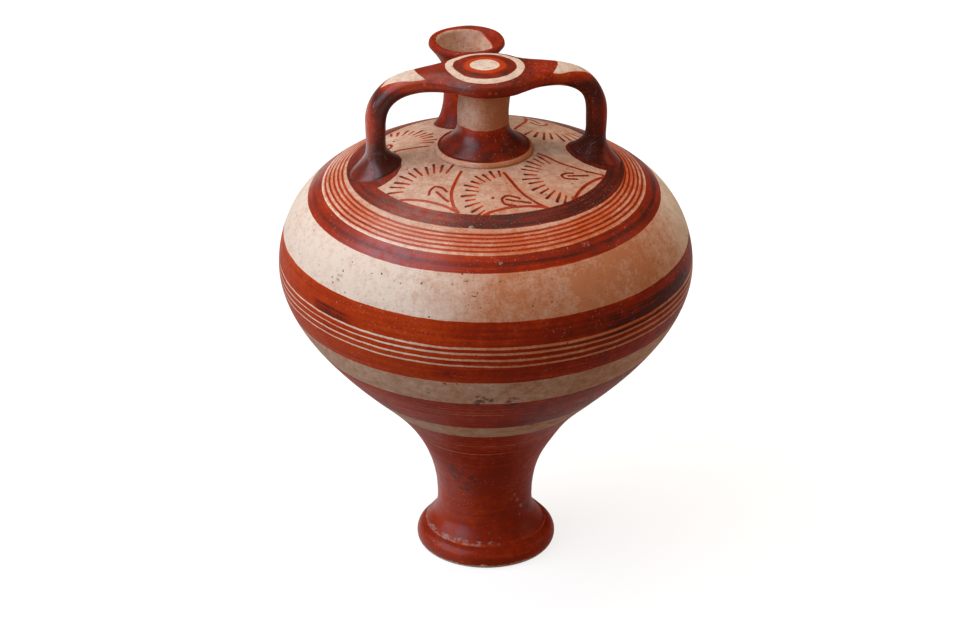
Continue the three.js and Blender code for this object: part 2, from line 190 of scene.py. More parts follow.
@named
class NeckSizes(bpy.types.PropertyGroup):
    """The collar and the false neck."""

    plug_radius: length("Radius of the neck's plug in the shoulder", 9)
    plug_depth: length("How far the plug reaches below the seat", 6.5)
    flare_height: length("Height of the flare on the collar", 8.4)
    flare_angle: angle("Direction in which the flare leaves the collar", 142)
    radius: length("Radius of the neck's shaft", 8.65)
    top_radius: length("Radius where the neck meets the disc", 10.4)
    spread_height: length("Height over which the neck spreads to the disc", 4.5)
    base_lean: length("How far the neck's base strays to the left", 0.85)
    lean: length("How far the neck's middle strays to the left", 1.2)
    top_lean: length("How far the neck's top strays to the left", 0.4)


@named
class TopSizes(bpy.types.PropertyGroup):
    """The domed disc and the two strap handles."""

    undercut: length("Height of the disc's sloping underside", 1.0)
    edge_thickness: length("Thickness of the disc's edge", 4.7)
    edge_round: length("Rounding of the disc's edge", 1.7)
    leg_width: length("Width of the strap on its way down", 10.6)
    leg_thickness: length("Thickness of the strap on its way down", 7.1)
    end_width: length("Width of the strap at the disc", 15.5)
    end_thickness: length("Thickness of the strap at the disc", 7.6)
    tuck_in: length("How far the strap starts inside the disc's edge", 3)
    top_pull: length("How far the strap stays level", 17.5)
    pull_aside: length("How much longer the right strap stays level than the left", 0.7)
    top_drop: length("How far the level stretch falls", -0.7)
    bend_drop: length("Height of the strap's bend", 15.2)
    bend_pull: length("How far the leg stays upright above the bend's end", 10.8)
    root_half_depth: length("Half of the clay heap's size along the handle", 8.8)
    root_half_width: length("Half of the clay heap's size across the handle", 9.6)
    root_height: length("Height of the clay heap", 8)
    voxel: length("Grain at which the pieces are merged", 0.45)


@named
class SpoutSizes(bpy.types.PropertyGroup):
    """The open spout."""

    height: length("Height of the mouth above the shoulder", 28.2)
    aside: length("How far the real spout's foot stands left of its plan", 1.5)
    mouth_aside: length("How far its mouth stands left of its plan", 0.15)
    wider: length("How much wider the real mouth is than its plan", 0.4)
    higher: length("How much higher the real mouth is than its plan", 0.5)
    foot_reach: length("Distance of its lower end from the jar's axis", 27.6)
    tube_radius: length("Outer radius of the tube", 7.4)
    flare_height: length("Height of the flared mouth", 13)
    flare_angle: angle("Slope of the flare at the lip", 52)
    lip_height: length("Height of the lip", 1.8)
    lip_round: length("Rounding of the lip", 1.2)
    mouth_radius: length("Inner radius at the mouth", 9.8)
    mouth_drop: length("How far the inner edge lies below the lip", 0.9)
    funnel_depth: length("Depth of the funnel", 11)
    bore_radius: length("Radius of the bore into the body", 4.6)
    root_radius: length("Radius of the clay round its lower end", 10.2)
    root_height: length("Height of the clay round its lower end", 6.5)


@named
class ReliefSizes(bpy.types.PropertyGroup):
    """The marks that throwing, luting and time leave in the clay."""

    ridge_depth: length("Depth of the throwing marks", 0.10)
    ridge_spacing: length("Distance between throwing marks", 2.4)
    unevenness: length("How far the turned surface strays inwards", 0.22)
    patch: length("Size of the uneven patches", 26)
    segments: count("Faces round a turned piece", 360)
    seed: count("Seed of the marks", 7)


@named
class PaintColours(bpy.types.PropertyGroup):
    """Colours of the clay and of the slip, from thin to thick."""

    clay: colour("Bare clay", 230, 205, 182)
    # The clay's pinkish tinge, and painted shade: this darker, oranger clay is laid most on the side away
    # from the window lamp
    clay_flush: colour("Bare clay that fired pinkish", 190, 108, 60)
    flush_turn: angle("Side of the jar that fired pinkest", -68)
    # Painted shade: the slip is laid thicker and darker on this side, away from the window lamp
    dark_turn: angle("Side of the jar that fired darkest", -15)
    # Painted sheen: the slip's coat is kept strongest on this side, where the window lamp's highlight falls
    polish_turn: angle("Side of the jar that kept its polish", -162)
    clay_dirt: colour("Earth in the pores of the clay", 114, 74, 38)
    film: colour("Pale film and scuffs", 206, 186, 168)
    soot: colour("Dark stains", 44, 26, 22)
    slip_wash: colour("Slip so thin that clay shows through", 206, 104, 46)
    slip_thin: colour("Thin slip, orange red", 184, 62, 16)
    slip: colour("Slip of middling thickness, red brown", 146, 38, 12)
    slip_thick: colour("Thick slip, dark red brown", 106, 34, 18)
    slip_dark: colour("The thickest slip, nearly black", 72, 26, 16)


@named
class BandSizes(bpy.types.PropertyGroup):
    """The painted rings of the body, as heights below the belly and as radii above it."""

    foot_red_top: length("Where the red of foot and stem ends", 58.05)
    lower_red_bottom: length("Lower edge of the red ring on the bowl", 65.9)
    lower_red_top: length("Upper edge of the red ring on the bowl", 83.1)
    belly_bottom: length("Lower edge of the belly's red", 94.1)
    belly_top_radius: length("Radius at the upper edge of the belly's red", 68.05)
    first_scraped: length("Height of the lowest pale line in the red", 101.4)
    last_scraped: length("Height of the highest pale line in the red", 108.3)
    scraped_width: length("Width of a pale line", 0.78)
    wide_outer: length("Outer radius of the wide band", 60.2)
    wide_inner: length("Inner radius of the wide band", 55.6)
    lines_outer: length("Radius of the outermost thin line", 54.4)
    lines_inner: length("Radius of the innermost thin line", 48.9)
    line_width: length("Width of a thin line", 0.85)
    dark_outer: length("Outer radius of the dark band", 46.7)
    dark_inner: length("Inner radius of the dark band", 41.1)
    root_paint_reach: length("Middle of the paint round a handle's foot", 37.5)
    root_paint_left: length("How much farther out the left handle's paint lies", 2.4)
    root_paint_fall: length("How much farther in front the left handle's paint lies", 1.6)
    root_paint_drop: length("How far in front of the handle that middle lies", 1.5)
    root_paint_depth: length("Half of the paint's size along the handle", 10.8)
    root_paint_width: length("Half of the paint's size across the handle", 11.2)
    neck_slip: length("Height of the neck's slip above the collar", 8)
    dot_radius: length("Radius of the dot on the disc", 4.9)
    disc_ring_inner: length("Inner radius of the disc's pale ring", 10.4)
    disc_ring_outer: length("Outer radius of the disc's pale ring", 13.1)
    patch_start: length("Where a strap's bare patch starts, from the axis", 23.6)
    patch_half_width: length("Half of the bare patch's width", 5.6)
    patch_length: length("How far the bare patch reaches along the strap", 12)
    low_shift: length("How far the lower rings lie off centre", 4.0)
    low_shift_turn: angle("Direction of that shift", -125)
    belly_shift: length("How far the belly's rings lie off centre", 1.6)
    belly_shift_turn: angle("Direction of that shift", -98)
    high_shift: length("How far the upper rings lie off centre", 3.3)
    high_shift_turn: angle("Direction of that shift", -122)
    dark_shift: length("How far the dark band lies off centre", 1.0)
    front: angle("Turn of the front, where the rings have their given heights and radii", -99.5)


@named
class FlowerSizes(bpy.types.PropertyGroup):
    """The fringed flowers on the shoulder."""

    apex_radius: length("Distance of a flower's point from the axis", 39.5)
    line_width: length("Width of the brush lines", 1.05)
    fringe_width: length("Width of the fringe's strokes", 0.95)
    fringe_aside: length("Place of the fringe's middle beside the point", 9.0)
    fringe_in: length("Place of the fringe's middle inwards of the point", 8.5)
    fringe_inner: length("Inner radius of the fringe", 10.1)
    fringe_step: bpy.props.FloatProperty(
        description="Degrees from one stroke to the next", default=11.3, min=2, max=60
    )


@named
class StageSizes(bpy.types.PropertyGroup):
    """Camera and floor."""

    camera_distance: length("Distance of the camera from its aim", 1200)
    aim_height: length("Height on the axis that the camera looks at", 84)
    elevation: angle("Height of the camera above level", 26.5)
    turn: angle("How far the camera stands round the jar", -9.5)
    roll: angle("How far the camera leans to its left", 0.25)
    lens: bpy.props.FloatProperty(description="Focal length for a 36 mm sensor", default=132.97)
    aim_aside: length("How far left of the axis the camera looks", 1.86)
    floor_size: length("Side of the floor", 6000)


def in_millimetres(group):
    """The values of a property group by name, its lengths in millimetres."""
    values = {}
    for prop in group.bl_rna.properties:
        if prop.identifier in ("rna_type", "name"):
            continue
        value = getattr(group, prop.identifier)
        values[prop.identifier] = value / MM if getattr(prop, "unit", "") == "LENGTH" else value
    return SimpleNamespace(**values)


# Dark patches of the belly's slip: turn and half spread in degrees, from and to above the belly's lower
# edge in millimetres, and how much thicker the slip is
SCORCHES = (
    (-146, 8, 17.5, 21.0, 0.42), (-45, 24, 16.0, 23.5, 0.40), (60, 25, 15, 22, 0.35), (150, 14, 16, 21, 0.3),
)

# Heights of the fine pale lines that the potter's tool left in the slip, and how clear each is
THROWING_LINES = (
    (54.2, 0.4), (52.6, 0.7), (51.6, 0.5), (50.7, 0.9), (49.6, 0.7), (48.5, 0.5), (47.4, 0.6),
    (45.7, 0.95), (43.9, 0.35), (38.8, 0.4), (79.1, 0.4), (77.3, 0.75), (75.6, 0.95), (72.2, 0.45),
)

# Worn and stained places: x, y, z and size
BODY_SCUFFS = (
    (-12.7, -44.8, 139.9, 1.9), (23.8, -50.3, 134.5, 2), (-5, -57.2, 133.1, 1.2),
    (-22.2, -58.3, 127.9, 1.2), (-10.6, -13.4, 36.6, 1.1), (-9, -13.5, 31.6, 1), (8.4, -14.5, 23.4, 1.5),
    (9.3, -13.6, 20.9, 1.5), (10.4, -12.7, 18, 1.5), (10.2, -13.5, 15.4, 1.3),
)
BODY_STAINS = (
    (-22.3, -64.0, 97.4, 3.0), (-11.7, -60.1, 85.3, 5), (-1.3, -60.5, 84.3, 4.4),
    (-12.7, -13.4, 35.3, 4.4), (-8.6, -14.6, 33.4, 5.6), (-9.5, -13.6, 29.8, 4.4),
    (-54.2, -37.9, 122.0, 2.0), (11.9, -12.6, 36.4, 1.9), (14.3, -10.0, 37.2, 1.7), (14.0, -10.6, 17, 3.4),
)
BODY_DOTS = (
    (-6.1, -61.8, 128.4, 0.8), (-17.3, -62, 125.1, 0.7), (12.9, -62.2, 126.4, 0.8),
    (10.3, -62.7, 126.5, 0.6), (5, -65.2, 123.5, 0.7), (-20.9, -59.2, 127.5, 0.8),
)
FOOT_STAINS = ((19.5, -12.5, 6.0, 2.4), (21.8, -9.0, 5.0, 1.8), (-18.0, -13.5, 7.4, 1.4))
DISC_CHIPS = (
    (-1.7, -15.6, 173.6, 0.9), (0.4, -15.7, 173.4, 0.8), (-14.5, -10.2, 174.0, 1.0),
    (-21.5, -6.2, 174.0, 0.8), (27.4, -4.0, 171.5, 0.8),
)
PINK_BLOT = (19.6, -61.2, 125.4)

# A measure along the outline that lies below the foot
BELOW_THE_JAR = -200

# The sides that kept a scuffed edge above the foot's groove and a worn groove, as turns in degrees
SCUFFED_TURN = -150
WORN_TURN = -160

# Lamps: name, place and size in metres, watts and tint
LAMPS = (
    ("window", (-1.37, -0.36, 1.30), (2.0, 2.0), 47, (0.72, 0.82, 1.0)),
    ("ceiling", (-0.1, 0.5, 1.8), (1.6, 1.6), 19, (1.0, 0.95, 0.88)),
    ("front", (0.2, -1.7, 0.9), (0.9, 0.9), 1.2, (1.0, 0.80, 0.60)),
    ("rim", (1.5, 0.0, 0.8), (0.8, 0.9), 6, (1.0, 0.76, 0.54)),
)
LAMPS_AIM = (0, 0, 0.1)

# The flowers' brush lines: steps clockwise and inwards from the flower's point, in millimetres
LOW_LINE = ((-0.8, -0.9), (3, 0.8), (6.5, 1.9), (10, 2.8), (13.4, 3.3), (17, 3.6), (19.5, 3.5))
SIDE_LINE = ((-1.2, -1), (0.8, 1.2), (2, 3.5), (3.1, 6.3), (3.7, 10.2), (3.7, 15), (3.5, 20.3))
BENT_SIDE_LINE = ((-1.8, -0.6), (0.4, 4.6), (0.9, 8), (1.1, 11.4), (0.7, 15), (-0.8, 18.6), (-1.8, 22.2))
HOOK = (((10.5, 6), (10.7, 8.3), (9.8, 10.3), (8.3, 10.4), (6.8, 9.8), (5.2, 8.3)),
        ((8.5, 7.8), (6.8, 6.3), (5, 4.6), (3.4, 3.5)))
CURL = (((5.5, 5.6), (6.5, 6.8), (8.5, 8.3), (10.6, 7.9), (11.3, 6.4), (10.9, 4.7), (8.3, 3)),
        ((9.7, 6.9), (7.6, 5.2), (3.2, 2.5)), ((13.2, 9.3), (13.5, 9.1)))
BUD = (((4.8, 8.2), (6.6, 10.2), (8.6, 11), (9.6, 9.3), (7.5, 6)), ((7.6, 9), (5.2, 6.3), (2.9, 3.7)))

# Each flower's turn, side line, curls, first and last turn of its fringe, and that fringe's shift and radius
FLOWERS = (
    (-114, SIDE_LINE, HOOK, (-5, 102), 0.3, 15.3),
    (-72, SIDE_LINE, CURL, (-30, 107), -0.5, 14.1),
    (-27, BENT_SIDE_LINE, BUD, (-23, 125), -0.3, 15.0),
    (62, SIDE_LINE, HOOK, (-5, 105), 1.5, 16.5),
    (173, SIDE_LINE, CURL, (-12, 105), 0, 14.2),
)


class Curve:
    """A cubic outline curve, by the places and directions of its ends. It runs up the outside."""

    def __init__(self, start, start_pull, start_angle, end, end_pull, end_angle):
        start, end = np.array(start, float), np.array(end, float)
        leave = np.array([math.cos(start_angle), math.sin(start_angle)])
        reach = np.array([math.cos(end_angle), math.sin(end_angle)])
        self.points = np.array([start, start + start_pull * leave, end - end_pull * reach, end])

    def at(self, shares):
        """Points at shares of the curve from 0 to 1."""
        t = np.atleast_1d(shares)[:, None]
        weights = ((1 - t) ** 3, 3 * t * (1 - t) ** 2, 3 * t * t * (1 - t), t ** 3)
        return sum(weight * point for weight, point in zip(weights, self.points))

    def facing(self, shares):
        """Unit directions away from the clay."""
        t = np.atleast_1d(shares)[:, None]
        legs = np.diff(self.points, axis=0)
        slope = (1 - t) ** 2 * legs[0] + 2 * t * (1 - t) * legs[1] + t * t * legs[2]
        slope /= np.linalg.norm(slope, axis=1)[:, None]
        return np.column_stack([slope[:, 1], -slope[:, 0]])

    def shares(self, spacing, start=0.0, end=1.0):
        """Shares along the curve, evenly spaced by length."""
        fine = np.linspace(start, end, 400)
        steps = np.linalg.norm(np.diff(self.at(fine), axis=0), axis=1)
        travelled = np.concatenate([[0], np.cumsum(steps)])
        wanted = np.linspace(0, travelled[-1], max(2, math.ceil(travelled[-1] / spacing) + 1))
        return np.interp(wanted, travelled, fine)

    def share_where(self, axis, value):
        """The share at which radius (axis 0) or height (axis 1) has a value."""
        fine = np.linspace(0, 1, 2000)
        measure = self.at(fine)[:, axis]
        order = np.argsort(measure)
        return float(np.interp(value, measure[order], fine[order]))


class Outline:
    """A turned piece's outline, and at each point how far throwing marks may move it, as a direction."""

    def __init__(self):
        self.points = []
        self.marks = []

    def plain(self, *points):
        """Points that bear no throwing marks."""
        for point in points:
            self.points.append((float(point[0]), float(point[1])))
            self.marks.append((0.0, 0.0))

    def worked(self, curve, spacing, start=0.0, end=1.0):
        """Points along a curve whose surface bears throwing marks."""
        shares = curve.shares(spacing, start, end)
        self.points.extend(map(tuple, curve.at(shares)))
        self.marks.extend(map(tuple, curve.facing(shares)))

    def close(self):
        """Ends a ring's outline where it began."""
        self.points.append(self.points[0])
        self.marks.append(self.marks[0])


def body_curves(sizes):
    """The jar's outline from the foot's groove to the neck's seat."""
    upright = math.pi / 2
    waist = (sizes.waist_radius, FOOT_TOP + sizes.waist_rise)
    flank = (sizes.flank_radius, STEM_TOP + sizes.flank_rise)
    belly = (BELLY_RADIUS, BELLY_HEIGHT)
    seat = (sizes.seat_radius, SEAT_HEIGHT)
    half_rise = sizes.waist_rise / 2
    return SimpleNamespace(
        flare=Curve((sizes.stem_foot_radius, FOOT_TOP), half_rise, sizes.stem_foot_angle,
                    waist, half_rise, upright),
        stem=Curve(waist, sizes.stem_pull, upright, flank, sizes.flank_pull_down, sizes.flank_slope),
        flank=Curve(flank, sizes.flank_pull_up, sizes.flank_slope,
                    belly, sizes.belly_pull_down, upright),
        shoulder=Curve(belly, sizes.belly_pull_up, upright,
                       seat, sizes.seat_pull, math.pi - sizes.seat_slope),
    )


def shoulder_height(curves, radius):
    """Height of the shoulder's surface at distances from the axis."""
    fine = np.linspace(0, 1, 2000)
    points = curves.shoulder.at(fine)[::-1]
    return np.interp(radius, points[:, 0], points[:, 1])


def inner_wall(curve, spacing, depth, start, end):
    """Points at a depth inside a curve, from one share to another."""
    shares = curve.shares(spacing, min(start, end), max(start, end))
    if end < start:
        shares = shares[::-1]
    return curve.at(shares) - depth * curve.facing(shares)


def foot_outline(sizes):
    """The foot, from the middle of its hollow over its rounded edge to the middle of its top."""
    outline = Outline()
    rim = sizes.foot_rest_radius - sizes.foot_ring_width
    for t in np.linspace(0, 1, 14):
        radius = 2 * t * (1 - t) * rim * 0.8 + t * t * rim
        height = (1 - t * t) * sizes.foot_hollow
        outline.plain((radius, max(height, 0)))
    outline.plain((rim + 1, 0), (sizes.foot_rest_radius - 0.5, 0))
    groove = (sizes.groove_radius, FOOT_TOP - sizes.groove_drop)
    edge_reach = sizes.foot_rest_radius + sizes.foot_edge_pull
    edge = Curve((0, 0), 1, 0, (1, 1), 1, 0)
    edge.points = np.array([(sizes.foot_rest_radius, 0), (edge_reach, FOOT_TOP * 0.12),
                            (edge_reach, FOOT_TOP * 0.75), groove])
    outline.worked(edge, 0.35, 0.03, 1.0)
    outline.plain((sizes.groove_radius - 0.15, FOOT_TOP - 0.45), (sizes.stem_foot_radius, FOOT_TOP),
                  (0, FOOT_TOP))
    return outline


def stem_outline(curves):
    """The solid stem, from the middle of its foot to the middle of its top."""
    outline = Outline()
    outline.plain((0, FOOT_TOP))
    outline.worked(curves.flare, 0.5)
    outline.worked(curves.stem, 0.6, 0.0, curves.stem.share_where(1, STEM_TOP))
    outline.plain((0, STEM_TOP))
    return outline


def bowl_outline(sizes, curves):
    """The bowl: up its outside to the belly, then down its inside to the floor."""
    outline = Outline()
    outline.plain((0, STEM_TOP))
    outline.worked(curves.stem, 0.6, curves.stem.share_where(1, STEM_TOP), 1.0)
    outline.worked(curves.flank, 0.6)
    outline.plain(*inner_wall(curves.flank, 3, sizes.wall, 1.0, 0.0))
    floor_height = STEM_TOP + sizes.floor
    inside = inner_wall(curves.stem, 2, sizes.wall, 1.0, curves.stem.share_where(1, STEM_TOP))
    outline.plain(*[point for point in inside if point[1] > floor_height + 0.5])
    outline.plain((12, floor_height), (0, floor_height))
    return outline


def shoulder_outline(sizes, neck, curves):
    """The shoulder: from the belly up to the neck's hole, then back inside."""
    outline = Outline()
    hole = neck.plug_radius + FIT_GAP
    turn = curves.shoulder.share_where(0, 43)
    outline.worked(curves.shoulder, 0.85, 0.0, turn)
    outline.worked(curves.shoulder, 0.42, turn + 0.004, 1.0)
    outline.plain((hole, SEAT_HEIGHT), (hole, SEAT_HEIGHT - sizes.wall))
    outline.plain(*inner_wall(curves.shoulder, 3.5, sizes.wall, 0.985, 0.0))
    outline.close()
    return outline


def collar_outline(sizes):
    """The low ring of clay round the neck."""
    outline = Outline()
    hole = sizes.plug_radius + FIT_GAP
    outline.plain((hole, SEAT_HEIGHT), (COLLAR_RADIUS - 0.05, SEAT_HEIGHT))
    for turn in np.radians(np.linspace(0, 90, 9)):
        outline.plain((COLLAR_RADIUS - COLLAR_ROUND + COLLAR_ROUND * math.cos(turn),
                       COLLAR_TOP - 1.4 + 1.4 * math.sin(turn)))
    outline.plain((hole, COLLAR_TOP))
    outline.close()
    return outline


def neck_outline(sizes):
    """The solid neck, from the end of its plug to the disc."""
    upright = math.pi / 2
    low = SEAT_HEIGHT - sizes.plug_depth
    flare = Curve((NECK_FLARE_RADIUS, COLLAR_TOP), 4, sizes.flare_angle,
                  (sizes.radius, COLLAR_TOP + sizes.flare_height), 4, upright)
    spread = Curve((sizes.radius, NECK_TOP - sizes.spread_height), sizes.spread_height / 2, upright,
                   (sizes.top_radius, NECK_TOP), 1.5, math.radians(45))
    outline = Outline()
    outline.plain((0, low), (sizes.plug_radius, low), (sizes.plug_radius, COLLAR_TOP))
    outline.worked(flare, 0.4)
    outline.worked(Curve(flare.points[3], 2, upright, spread.points[0], 2, upright), 0.6)
    outline.worked(spread, 0.4)
    outline.plain((0, NECK_TOP))
    return outline


def disc_outline(top):
    """The domed disc, from the middle of its underside to the middle of its top."""
    low, high = NECK_TOP + top.undercut, NECK_TOP + top.undercut + top.edge_thickness
    round_start = DISC_RADIUS - top.edge_round
    pull = top.edge_round * 4 / 3
    edge = Curve((round_start, low), pull, 0, (round_start, high), pull, math.pi)
    outline = Outline()
    outline.plain((0, NECK_TOP), (8, NECK_TOP), (10.4, NECK_TOP))
    outline.plain(*edge.at(np.linspace(0, 1, 12)))
    for share_done in np.linspace(0, 1, 14)[1:]:
        keep = 1 - share_done
        radius = keep * keep * round_start + 2 * share_done * keep * DOME_FULLNESS * DISC_RADIUS
        height = keep * keep * high + (1 - keep * keep) * DISC_TOP
        outline.plain((max(radius, 0), height))
    return outline


class Flow:
    """A socket that takes part in plain arithmetic: an expression adds its Math nodes."""

    def __init__(self, bench, socket):
        self.bench = bench
        self.socket = socket

    def __add__(self, other):
        return self.bench.math("ADD", self, other)

    def __radd__(self, other):
        return self.bench.math("ADD", other, self)

    def __sub__(self, other):
        return self.bench.math("SUBTRACT", self, other)

    def __rsub__(self, other):
        return self.bench.math("SUBTRACT", other, self)

    def __mul__(self, other):
        return self.bench.math("MULTIPLY", self, other)

    def __rmul__(self, other):
        return self.bench.math("MULTIPLY", other, self)

    def __truediv__(self, other):
        return self.bench.math("DIVIDE", self, other)

    def __pow__(self, power):
        return self.bench.math("POWER", self, power)

    def __abs__(self):
        return self.bench.math("ABSOLUTE", self)

    def output(self, name):
        """Another output of the same node."""
        return Flow(self.bench, self.socket.node.outputs[name])


class Bench:
    """A node tree to work on. Shader trees and geometry trees are built in the same way."""

    def __init__(self, tree):
        self.tree = tree

    def feed(self, socket, value):
        if isinstance(value, Flow):
            self.tree.links.new(value.socket, socket)
        elif value is not None:
            socket.default_value = value

    def node(self, kind, settings=None, sockets=None, output=0):
        """A new node: its settings first, then the values or links of its sockets."""
        made = self.tree.nodes.new(kind)
        for name, value in (settings or {}).items():
            if name == "stops":
                self.set_stops(made.color_ramp, value)
            else:
                setattr(made, name, value)
        for name, value in (sockets or {}).items():
            self.feed(made.inputs[name], value)
        return Flow(self, made.outputs[output]) if made.outputs else made

    def set_stops(self, ramp, stops):
        while len(ramp.elements) < len(stops):
            ramp.elements.new(1.0)
        for element, (position, shade) in zip(ramp.elements, stops):
            element.position = position
            element.color = (*shade, 1.0)

    def math(self, operation, first, second=None, clamp=False):
        settings = {"operation": operation, "use_clamp": clamp}
        return self.node("ShaderNodeMath", settings, {0: first, 1: second})

    def most(self, first, second):
        return self.math("MAXIMUM", first, second)

    def clamped(self, value):
        return self.math("ADD", value, 0.0, clamp=True)

    def step(self, value, low, high):
        """0 below low, 1 above high, and smooth between. Low may be the greater."""
        settings = {"interpolation_type": "SMOOTHSTEP"}
        inputs = {"Value": value, "From Min": low, "From Max": high}
        return self.node("ShaderNodeMapRange", settings, inputs)

    def vector(self, x, y, z):
        return self.node("ShaderNodeCombineXYZ", None, {0: x, 1: y, 2: z})

    def scaled(self, vector, factors):
        return self.node("ShaderNodeVectorMath", {"operation": "MULTIPLY"}, {0: vector, 1: factors})

    def distance(self, east, north):
        """Length of a level step, from its two parts."""
        return self.math("SQRT", east * east + north * north)

    def separate(self, vector):
        """The first part of a vector. Its output Y and output Z are the others."""
        return self.node("ShaderNodeSeparateXYZ", None, {0: vector}, "X")

    def blend(self, factor, first, second):
        """A colour between two colours."""
        settings = {"data_type": "RGBA"}
        inputs = {0: factor, 6: first, 7: second}
        return self.node("ShaderNodeMix", settings, inputs, output=2)

    def noise(self, vector, size, detail=2.0, roughness=0.5, seed=0.0):
        """Soft noise from 0 to 1 whose lumps have about this size."""
        settings = {"noise_dimensions": "4D"}
        inputs = {"Vector": vector, "W": seed, "Scale": 1.0 / size, "Detail": detail,
                  "Roughness": roughness}
        return self.node("ShaderNodeTexNoise", settings, inputs)


def wheel_tree():
    """Geometry Nodes for the potter's wheel: an outline of points is turned and gets throwing marks."""
    tree = bpy.data.node_groups.new("potters_wheel", "GeometryNodeTree")
    face = tree.interface
    face.new_socket("Outline", in_out="INPUT", socket_type="NodeSocketGeometry")
    for name, kind in (("Segments", "NodeSocketInt"), ("Ridge Depth", "NodeSocketFloat"),
                       ("Ridge Spacing", "NodeSocketFloat"), ("Unevenness", "NodeSocketFloat"),
                       ("Patch", "NodeSocketFloat"), ("Seed", "NodeSocketFloat"),
                       ("Material", "NodeSocketMaterial")):
        face.new_socket(name, in_out="INPUT", socket_type=kind)
    face.new_socket("Piece", in_out="OUTPUT", socket_type="NodeSocketGeometry")
    bench = Bench(tree)
    given = bench.node("NodeGroupInput")
    outline = given.output("Outline")
    segments = given.output("Segments")

    rows = bench.node(
        "GeometryNodeAttributeDomainSize", {"component": "MESH"}, {"Geometry": outline}, "Point Count")
    grid = bench.node("GeometryNodeMeshGrid", None, {
        "Size X": 1.0, "Size Y": 1.0, "Vertices X": segments + 1, "Vertices Y": rows}, "Mesh")
    index = bench.node("GeometryNodeInputIndex")
    row = bench.math("MODULO", index, rows)
    column = bench.math("FLOOR", index / rows)

    def on_outline(value):
        settings = {"data_type": "FLOAT_VECTOR", "domain": "POINT"}
        inputs = {"Geometry": outline, "Value": value, "Index": row}
        return bench.node("GeometryNodeSampleIndex", settings, inputs)

    radius = bench.separate(on_outline(bench.node("GeometryNodeInputPosition")))
    height = radius.output("Z")
    settings = {"data_type": "FLOAT_VECTOR"}
    marks = bench.node("GeometryNodeInputNamedAttribute", settings, {"Name": "marks"})
    marks = bench.separate(on_outline(marks))
    turn = column / segments * math.tau
    east, north = bench.math("COSINE", turn), bench.math("SINE", turn)

    spacing, patch, seed = given.output("Ridge Spacing"), given.output("Patch"), given.output("Seed")
    ridge_spot = bench.vector(east * 0.6, north * 0.6, height / spacing)
    ridges = bench.noise(ridge_spot, 1.0, 1.0, 0.5, radius / spacing + seed)
    patch_spot = bench.vector(east * radius / patch, north * radius / patch, height / patch)
    patches = bench.noise(patch_spot, 1.0, 1.0, 0.5, seed)
    inwards = given.output("Ridge Depth") * ridges + given.output("Unevenness") * patches
    moved_radius = radius - inwards * marks
    moved_height = height - inwards * marks.output("Z")
    spot = bench.vector(east * moved_radius, north * moved_radius, moved_height)

    turned = bench.node("GeometryNodeSetPosition", None, {"Geometry": grid, "Position": spot})
    merged = bench.node("GeometryNodeMergeByDistance", None, {"Geometry": turned, "Distance": 1e-7})
    smooth = bench.node("GeometryNodeSetShadeSmooth", None, {"Geometry": merged})
    real = bench.node("GeometryNodeRealizeInstances", None, {"Geometry": smooth})
    inputs = {"Geometry": real, "Material": given.output("Material")}
    painted = bench.node("GeometryNodeSetMaterial", None, inputs)
    bench.node("NodeGroupOutput", None, {"Piece": painted})
    return tree


def placed(name, data):
    """A new object in the scene."""
    made = bpy.data.objects.new(name, data)
    bpy.context.scene.collection.objects.link(made)
    return made


def finished(blank, name):
    """The mesh that a blank's modifiers make. The blank itself goes."""
    bpy.context.view_layer.update()
    ready = blank.evaluated_get(bpy.context.evaluated_depsgraph_get())
    mesh = bpy.data.meshes.new_from_object(ready)
    mesh.name = name
    bpy.data.objects.remove(blank)
    return mesh


def mesh_of(name, points, faces):
    """A mesh in metres from points in millimetres."""
    mesh = bpy.data.meshes.new(name)
    mesh.from_pydata((np.asarray(points, float) * MM).tolist(), [], faces)
    mesh.update()
    return mesh


def coordinates(mesh):
    """A mesh's points in millimetres."""
    flat = np.empty(len(mesh.vertices) * 3, np.float32)
    mesh.vertices.foreach_get("co", flat)
    return flat.reshape(-1, 3).astype(float) / MM


def set_coordinates(mesh, points):
    """Puts a mesh's points where they are given, in millimetres."""
    mesh.vertices.foreach_set("co", (points * MM).astype(np.float32).ravel())
    mesh.update()


def set_attribute(mesh, name, values):
    """A number at each point of a mesh, which its material reads."""
    attribute = mesh.attributes.new(name, "FLOAT", "POINT")
    attribute.data.foreach_set("value", np.asarray(values, np.float32))


def edges_of(mesh):
    """The two point numbers of each edge."""
    flat = np.empty(len(mesh.edges) * 2, np.int32)
    mesh.edges.foreach_get("vertices", flat)
    return flat.reshape(-1, 2)


def turned_outwards(mesh):
    """Turns the faces over if the closed mesh is inside out, and stops on a mesh with a hole in it."""
    shape = bmesh.new()
    shape.from_mesh(mesh)
    open_edges = [edge for edge in shape.edges if not edge.is_manifold]
    if open_edges:
        raise RuntimeError(f"{mesh.name} has {len(open_edges)} open edges")
    if shape.calc_volume(signed=True) < 0:
        bmesh.ops.reverse_faces(shape, faces=shape.faces)
    shape.to_mesh(mesh)
    shape.free()
    mesh.shade_smooth()
    mesh.set_sharp_from_angle(angle=math.radians(48))


def show(mesh, material, slot, *nodes):
    """A finished piece: it rides on the jar, stands for its CAD nodes and wears the material it is given."""
    piece = placed(mesh.name, mesh)
    mesh.materials.clear()
    mesh.materials.append(material)
    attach(piece, BODY)
    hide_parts(*nodes)
    return piece


